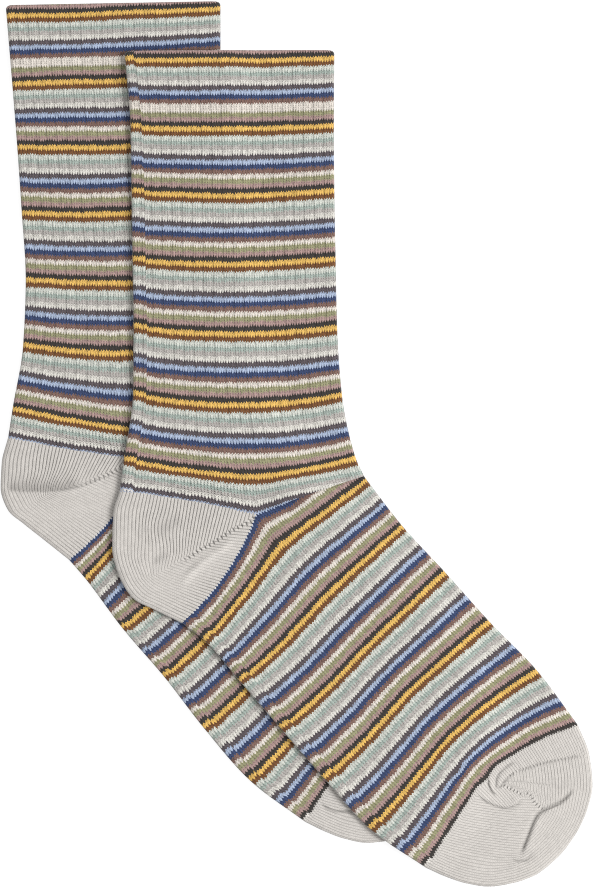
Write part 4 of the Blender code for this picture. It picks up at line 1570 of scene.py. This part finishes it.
@dataclass(frozen=True)
class Signal:
    """A value that a material's nodes work out at each place; sums and products of it are too."""

    graph: "Graph"
    socket: bpy.types.NodeSocket

    __add__ = __radd__ = joined_by("ADD")
    __sub__, __rsub__ = joined_by("SUBTRACT"), joined_by("SUBTRACT", True)
    __mul__ = __rmul__ = joined_by("MULTIPLY")
    __truediv__, __pow__ = joined_by("DIVIDE"), joined_by("POWER")
    __lt__, __gt__ = joined_by("LESS_THAN"), joined_by("GREATER_THAN")
    times_plus = joined_by("MULTIPLY_ADD")
    floor, fract, absolute, root = map(joined_by, ("FLOOR", "FRACT", "ABSOLUTE", "SQRT"))

    def to_and_fro(self, half: float) -> "Signal":
        """Rises from 0 to 1 over half a period and falls back over the other."""
        return self.graph.math("PINGPONG", self, half) * (1 / half)


class Graph:
    """Adds nodes to a material's tree and links them."""

    def __init__(self, material: bpy.types.Material) -> None:
        """Start from the material's own shader.

        Args:
            material: A material that uses nodes.
        """
        self.tree = material.node_tree
        self.shader = self.tree.nodes["Principled BSDF"]

    def feed(self, node: bpy.types.Node, values: dict[object, object]) -> None:
        """Link a node's sockets to signals, or give them plain values."""
        for key, value in values.items():
            if isinstance(value, Signal):
                self.tree.links.new(value.socket, node.inputs[key])
            else:
                node.inputs[key].default_value = value

    def node(self, kind: str, values: dict[object, object], **settings: object) -> bpy.types.Node:
        """A new shader node with these values in its sockets and these settings."""
        made = self.tree.nodes.new("ShaderNode" + kind)
        for name, value in settings.items():
            setattr(made, name, value)
        self.feed(made, values)
        return made

    def signal(self, kind: str, *values: object, result: object = 0, **settings: object) -> Signal:
        """What a new node gives out, with values for its first sockets."""
        made = self.node(kind, dict(enumerate(values)), **settings)
        return Signal(self, made.outputs[result])

    def math(self, operation: str, *values: object) -> Signal:
        """The result of one math operation on signals and numbers."""
        return self.signal("Math", *values, operation=operation)

    def span(self, value: object, low: float, high: float, start: float = 0.0,
             end: float = 1.0) -> Signal:
        """A value mapped smoothly from one range to another, and held at its ends."""
        return self.signal("MapRange", value, low, high, start, end,
                           interpolation_type="SMOOTHSTEP")

    def noise(self, place: tuple[object, ...], scale: float, detail: float = 2.0) -> Signal:
        """Smooth noise at a place, from about -0.5 to 0.5."""
        values = {"Vector": self.signal("CombineXYZ", *place), "Scale": scale, "Detail": detail}
        return Signal(self, self.node("TexNoise", values).outputs["Fac"]) - 0.5

    def luck(self, *place: Signal) -> Signal:
        """A random value from -0.5 to 0.5 for each whole place."""
        values = {"Vector": self.signal("CombineXYZ", *place)}
        made = self.node("TexWhiteNoise", values, noise_dimensions="3D")
        return Signal(self, made.outputs["Value"]) - 0.5

    def attribute(self, name: str) -> Signal:
        """A value kept on the mesh under a name."""
        return self.signal("Attribute", result="Fac", attribute_name=name)

    def mix(self, share: Signal, first: object, second: object) -> Signal:
        """A mix of two colours."""
        made = self.node("Mix", {0: share, 6: first, 7: second}, data_type="RGBA")
        return Signal(self, made.outputs[2])


@dataclass(frozen=True)
class KnitFinish:
    """Fine cotton jersey: columns of small chevron stitches.

    Darkening is given as a share of the light lost, and lengths of the pattern in stitches. The
    darkening in the gaps between wales, between courses, in the middle of each wale, in the rib
    grooves, in the eyelets and along the creases is painted shade; the uneven tone, streaks and
    specks are the yarn's own.
    """

    name: str
    striped: bool
    gap_shade: float = 1.0
    gap_dots: float = 0.85
    gap_power: float = 2.0
    foot_gap: float = 0.78
    foot_dark: float = 0.025
    foot_from: tuple[float, float] = (182.0, 198.0)
    centre_shade: float = 0.12
    centre_power: float = 3.0
    row_shade: float = 0.04
    row_power: float = 2.0
    rib_shade: float = 0.11
    rib_middle: float = 0.875
    rib_sides: tuple[float, float] = (0.03, 0.2)
    zigzag: float = 0.9
    loose: float = 0.5
    uneven: float = 0.42
    streaks: float = 0.09
    streak_length: float = 0.12
    speckle: float = 0.3
    specks: tuple[float, float] = (3.0, 2.2)
    lift: float = 1.165
    wobble: float = 0.35
    wobble_scale: float = 0.12
    wobble_length: float = 0.4
    waver: float = 0.6
    waver_scale: float = 0.17
    waver_length: float = 0.5
    waver_seed: float = 7.0
    lean: float = 0.5
    hole_shade: float = 0.7
    hole_light: float = 0.15
    hole_places: tuple[float, float] = (-0.1, 0.3)
    hole_width: float = 0.2
    hole_edges: tuple[float, float] = (0.4, 1.15)
    bump: float = 0.00025
    bump_strength: float = 0.5
    bump_row: float = 0.5
    bump_leg: float = 0.35
    bump_fuzz: float = 0.3
    roughness: float = 0.9
    specular: float = 0.2
    sheen: float = 0.5
    sheen_roughness: float = 0.35

    def material(self) -> bpy.types.Material:
        """Make the finish as a node material."""
        made = bpy.data.materials.new(self.name)
        made.use_nodes = True
        graph = Graph(made)
        wale, course = self.place(graph)
        edge = (wale + 0.5).to_and_fro(0.5)
        stitched = course + (edge - 0.5) * self.zigzag
        slack = graph.luck(wale.floor(), (course * 0.5).floor())
        stitched = slack.times_plus(self.loose, stitched)
        row = stitched.to_and_fro(0.5)
        lean = (stitched + 0.5).fract() - 0.5
        gap = (lean.times_plus(self.lean, wale) + 0.5).to_and_fro(0.5) ** self.gap_power
        fuzz = graph.noise((wale * self.specks[0], course * self.specks[1]), 1.0, 3.0)
        # Painted shade in the middle of each wale, between courses and in the rib grooves; then the
        # yarn's own uneven tone, streaks and specks.
        causes = [(((1.0 - edge) ** self.centre_power) * row, -self.centre_shade),
                  ((1.0 - row) ** self.row_power, -self.row_shade)]
        if self.striped:
            causes.append((self.groove(graph, wale, course), -self.rib_shade))
        streak = graph.noise((wale.floor(), course * self.streak_length), 1.0, 1.0)
        causes += [(graph.luck((wale * 2.0).floor(), stitched.floor()), self.uneven),
                   (streak, self.streaks), (fuzz, self.speckle)]
        shade = self.lift - self.gap_loss(graph, gap, row, course)
        for cause, share in causes:
            shade = cause.times_plus(share, shade)
        # Painted shade along the creases (a painted highlight where it is below 0), and painted
        # shade in the eyelets.
        shade = shade * (1.0 - graph.attribute("shade")) * self.holes(graph)
        colour = self.colour(graph, wale, stitched)
        height = gap.times_plus(-1.0, row * self.bump_row)
        height = wale.to_and_fro(0.25).times_plus(self.bump_leg, height)
        bump = {"Strength": self.bump_strength, "Distance": self.bump,
                "Height": fuzz.times_plus(self.bump_fuzz, height)}
        shaded = graph.node("VectorMath", {0: colour, "Scale": shade}, operation="SCALE")
        graph.feed(graph.shader, {
            "Base Color": Signal(graph, shaded.outputs[0]),
            "Normal": Signal(graph, graph.node("Bump", bump).outputs[0]),
            "Roughness": self.roughness,
            "Specular IOR Level": self.specular,
            "Sheen Weight": self.sheen,
            "Sheen Roughness": self.sheen_roughness,
        })
        return made

    def place(self, graph: Graph) -> tuple[Signal, Signal]:
        """The wale and course at each place, which wander a little as in real cloth."""
        split = graph.node("SeparateXYZ", {0: graph.signal("UVMap", uv_map="knit")})
        wale, course = (Signal(graph, split.outputs[axis]) for axis in "XY")
        slow = graph.noise((wale, course * self.wobble_length), self.wobble_scale)
        wale = wale + slow * self.wobble
        place = wale, course * self.waver_length, self.waver_seed
        return wale, course + graph.noise(place, self.waver_scale) * self.waver

    def gap_loss(self, graph: Graph, gap: Signal, row: Signal, course: Signal) -> Signal:
        """The light taken off as painted shade in the gaps between wales, which open into dots at
        each stitch.
        On the foot this shade is weaker, and the foot is a little darker all over.

        Args:
            graph: The material's nodes.
            gap: How deep in a gap each place is.
            row: How far each place is from the middle of its stitch.
            course: The course at each place.

        Returns:
            The share of light lost.
        """
        # Painted shade in the gaps between wales, deeper where the cloth is stretched and they
        # part.
        parted = graph.attribute("stretch").times_plus(self.gap_shade, self.gap_shade)
        dots = row.times_plus(-self.gap_dots, 1.0)
        lost = gap * parted * (dots * dots)
        if not self.striped:
            return lost
        return (lost * graph.span(course, *self.foot_from, 1.0, self.foot_gap)
                + graph.span(course, *self.foot_from, 0.0, self.foot_dark))

    def holes(self, graph: Graph) -> Signal:
        """The light left by the eyelets: painted shade in each small slanted hole, which is not
        cut, and a lighter mark beside it.
        """
        place = graph.attribute("seam_along").fract() - 0.5
        side, strength = graph.attribute("seam_side"), graph.attribute("eyelets")
        light = 1.0
        for shift, share in zip(self.hole_places, (-self.hole_shade, self.hole_light)):
            across = (place - shift) * (1 / self.hole_width)
            away = (across ** 2.0 + side ** 2.0).root()
            light = graph.span(away, *self.hole_edges, 1.0, 0.0) * strength * share + light
        return light

    def groove(self, graph: Graph, wale: Signal, course: Signal) -> Signal:
        """How deep in a rib's groove each place is, fading out above the ankle."""
        away = ((wale / RIB_WALES).fract() - self.rib_middle).absolute()
        groove = graph.span(away, *self.rib_sides, 1.0, 0.0)
        return groove * graph.span(course, *RIB_FADE, 1.0, 0.0)

    def colour(self, graph: Graph, wale: Signal, course: Signal) -> Signal:
        """The yarn's colour at each stitch."""
        if self.striped:
            return self.stripes(graph, wale, course)
        from_middle = (wale - FRINGE_WALE).absolute()
        fringe = graph.span(from_middle, *FRINGE_WALES, *FRINGE_COURSES)
        toe = (course > TOE_START - TOE_FRINGE) * (course < TOE_START)
        colour = graph.mix(course < fringe, Yarn.GREY.linear, Yarn.LIGHT_BLUE.linear)
        colour = graph.mix(course > HEEL_NUMBERING, colour, Yarn.NAVY.linear)
        return graph.mix(toe, colour, Yarn.CHARCOAL.linear)

    def stripes(self, graph: Graph, wale: Signal, course: Signal) -> Signal:
        """The stripes' colour at each stitch, and grey where a heel or toe has begun.

        Args:
            graph: The material's nodes.
            wale: The wale at each place.
            course: The course at each place.

        Returns:
            The colour as light.
        """
        early = (course < WELT_END - 2) + (course < WELT_END - 1)
        place = ((course + early - FIRST_STRIPE) / STRIPE_PERIOD).fract()
        ramp = graph.node("ValToRGB", {0: place})
        ramp.color_ramp.interpolation = "CONSTANT"
        stops = ramp.color_ramp.elements
        while len(stops) < len(STRIPES):
            stops.new(0.5)
        for stop, stripe in zip(stops, STRIPES):
            stop.position = stripe.start / STRIPE_PERIOD
            stop.color = stripe.yarn.linear
        at_heel = (course > LEG_END) * (course < FOOT_START) * (wale < GORE_WALE)
        begun = graph.math("MAXIMUM", at_heel, course > TOE_START)
        return graph.mix(begun, Signal(graph, ramp.outputs[0]), Yarn.GREY.linear)


# ---------------------------------------------------------------- stage


@dataclass(frozen=True)
class Stage:
    """The pale floor, the soft light and the camera."""

    lens: float = 250.0
    sensor: float = 36.0
    view_height: float = 355.2
    focus_height: float = 2.5
    pixel_filter: float = 1.0
    far_clip: float = 50.0
    floor_size: float = 6.0
    floor_roughness: float = 0.9
    floor_share: float = 0.15
    floor_glow: float = 0.85
    ambient: float = 1.0
    key_place: tuple[float, float, float] = (1.7, 0.0, 1.6)
    key_size: float = 1.1
    key_power: float = 78.0

    def build(self) -> None:
        """Make the floor, the light from all round, the lamp and the camera."""
        self.floor()
        self.world()
        self.lamp("key", Vector(self.key_place), self.key_size, self.key_power)
        self.camera()

    def floor(self) -> None:
        """A wide pale table that is lit from below, so that it stays white beside the socks."""
        bpy.ops.object.select_all(action="DESELECT")
        bpy.ops.mesh.primitive_plane_add(size=self.floor_size, location=(0.0, 0.0, 0.0))
        card = bpy.context.object
        card.name = "floor"
        paint = bpy.data.materials.new("card")
        paint.use_nodes = True
        shader = paint.node_tree.nodes["Principled BSDF"]
        shader.inputs["Base Color"].default_value = (*[self.floor_share] * 3, 1.0)
        shader.inputs["Roughness"].default_value = self.floor_roughness
        shader.inputs["Emission Color"].default_value = (1.0, 1.0, 1.0, 1.0)
        shader.inputs["Emission Strength"].default_value = self.floor_glow
        card.data.materials.append(paint)

    def world(self) -> None:
        """Even pale light from all round."""
        world = bpy.data.worlds.new("studio")
        world.use_nodes = True
        background = world.node_tree.nodes["Background"]
        background.inputs[0].default_value = (1.0, 1.0, 1.0, 1.0)
        background.inputs[1].default_value = self.ambient
        bpy.context.scene.world = world

    def lamp(self, name: str, place: Vector, size: float, power: float) -> None:
        """A soft square lamp that looks at the socks."""
        bpy.ops.object.light_add(type="AREA", location=place)
        lamp = bpy.context.object
        lamp.name = name
        lamp.data.size = size
        lamp.data.energy = power
        lamp.rotation_euler = (-place).to_track_quat("-Z", "Y").to_euler()

    def camera(self) -> None:
        """A long lens straight above the socks."""
        data = bpy.data.cameras.new("camera")
        data.lens, data.sensor_width = self.lens, self.sensor
        data.clip_end = self.far_clip
        camera = bpy.data.objects.new("camera", data)
        bpy.context.scene.collection.objects.link(camera)
        distance = self.lens * self.view_height / self.sensor + self.focus_height
        camera.location = (0.0, 0.0, distance * MM)
        scene = bpy.context.scene
        scene.camera = camera
        scene.view_settings.view_transform = "Standard"
        scene.cycles.use_denoising = False
        scene.cycles.filter_width = self.pixel_filter


# ---------------------------------------------------------------- the pair


def pieces_of(sock: Sock) -> list[Piece]:
    """The five pieces of one sock, in the order in which they are knitted."""
    wall = CLOTH.wall
    return [
        Welt(sock, Part.WELT, CLOTH.welt_wall, sock.leg),
        Leg(sock, Part.LEG, wall, sock.leg),
        Heel(sock, Part.HEEL, wall),
        Foot(sock, Part.FOOT, wall, sock.foot),
        Toe(sock, Part.TOE, wall, sock.toe),
    ]


def main() -> None:
    """Build both socks round the frame, and the stage."""
    logging.basicConfig(level=logging.INFO)
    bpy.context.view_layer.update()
    lower = Sock("lower", Plan(LOWER_LEG), Plan(LOWER_FOOT), Plan(LOWER_TOE), LOWER_HEEL,
                 Surface(), False, LOWER_JOG, LOWER_EDGE,
                 LOWER_CREASES, LOWER_EYELETS, LOWER_STRETCHES, LOWER_NUDGES)
    upper = Sock("upper", Plan(UPPER_LEG), Plan(UPPER_FOOT), Plan(UPPER_TOE), UPPER_HEEL,
                 Surface(lower.outline()), True, UPPER_JOG, UPPER_EDGE,
                 UPPER_CREASES, UPPER_EYELETS, UPPER_STRETCHES, UPPER_NUDGES)
    Stage().build()
    finishes = {
        "striped_knit": KnitFinish("striped_jersey", True).material(),
        "grey_knit": KnitFinish(
            "grey_jersey", False, gap_shade=0.38, gap_dots=0.05, gap_power=3.0, centre_shade=0.03,
            row_shade=0.05, zigzag=0.8, loose=0.1, uneven=0.12, streaks=0.14, speckle=0.28,
            lift=1.045, waver=0.3, lean=0.0,
        ).material(),
    }
    for sock in (lower, upper):
        for piece in pieces_of(sock):
            made = piece.build()
            node = f"{sock.name}_{piece.part.value}"
            slot = "grey_knit" if piece.part in (Part.HEEL, Part.TOE) else "striped_knit"
            made.data.materials.clear()
            made.data.materials.append(finishes[slot])
            bpy.ops.object.shade_smooth_by_angle(angle=SMOOTH_ANGLE)
            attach(made, "root")
            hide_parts(node)
            under = [f"lower_{part.value}_knit" for part in LAID_ON[piece.part] if sock.on_top]
            piece.declare(made, under + ["floor"])
            LOG.info("%s: %d faces", made.name, len(made.data.polygons))


if __name__ == "__main__":
    main()
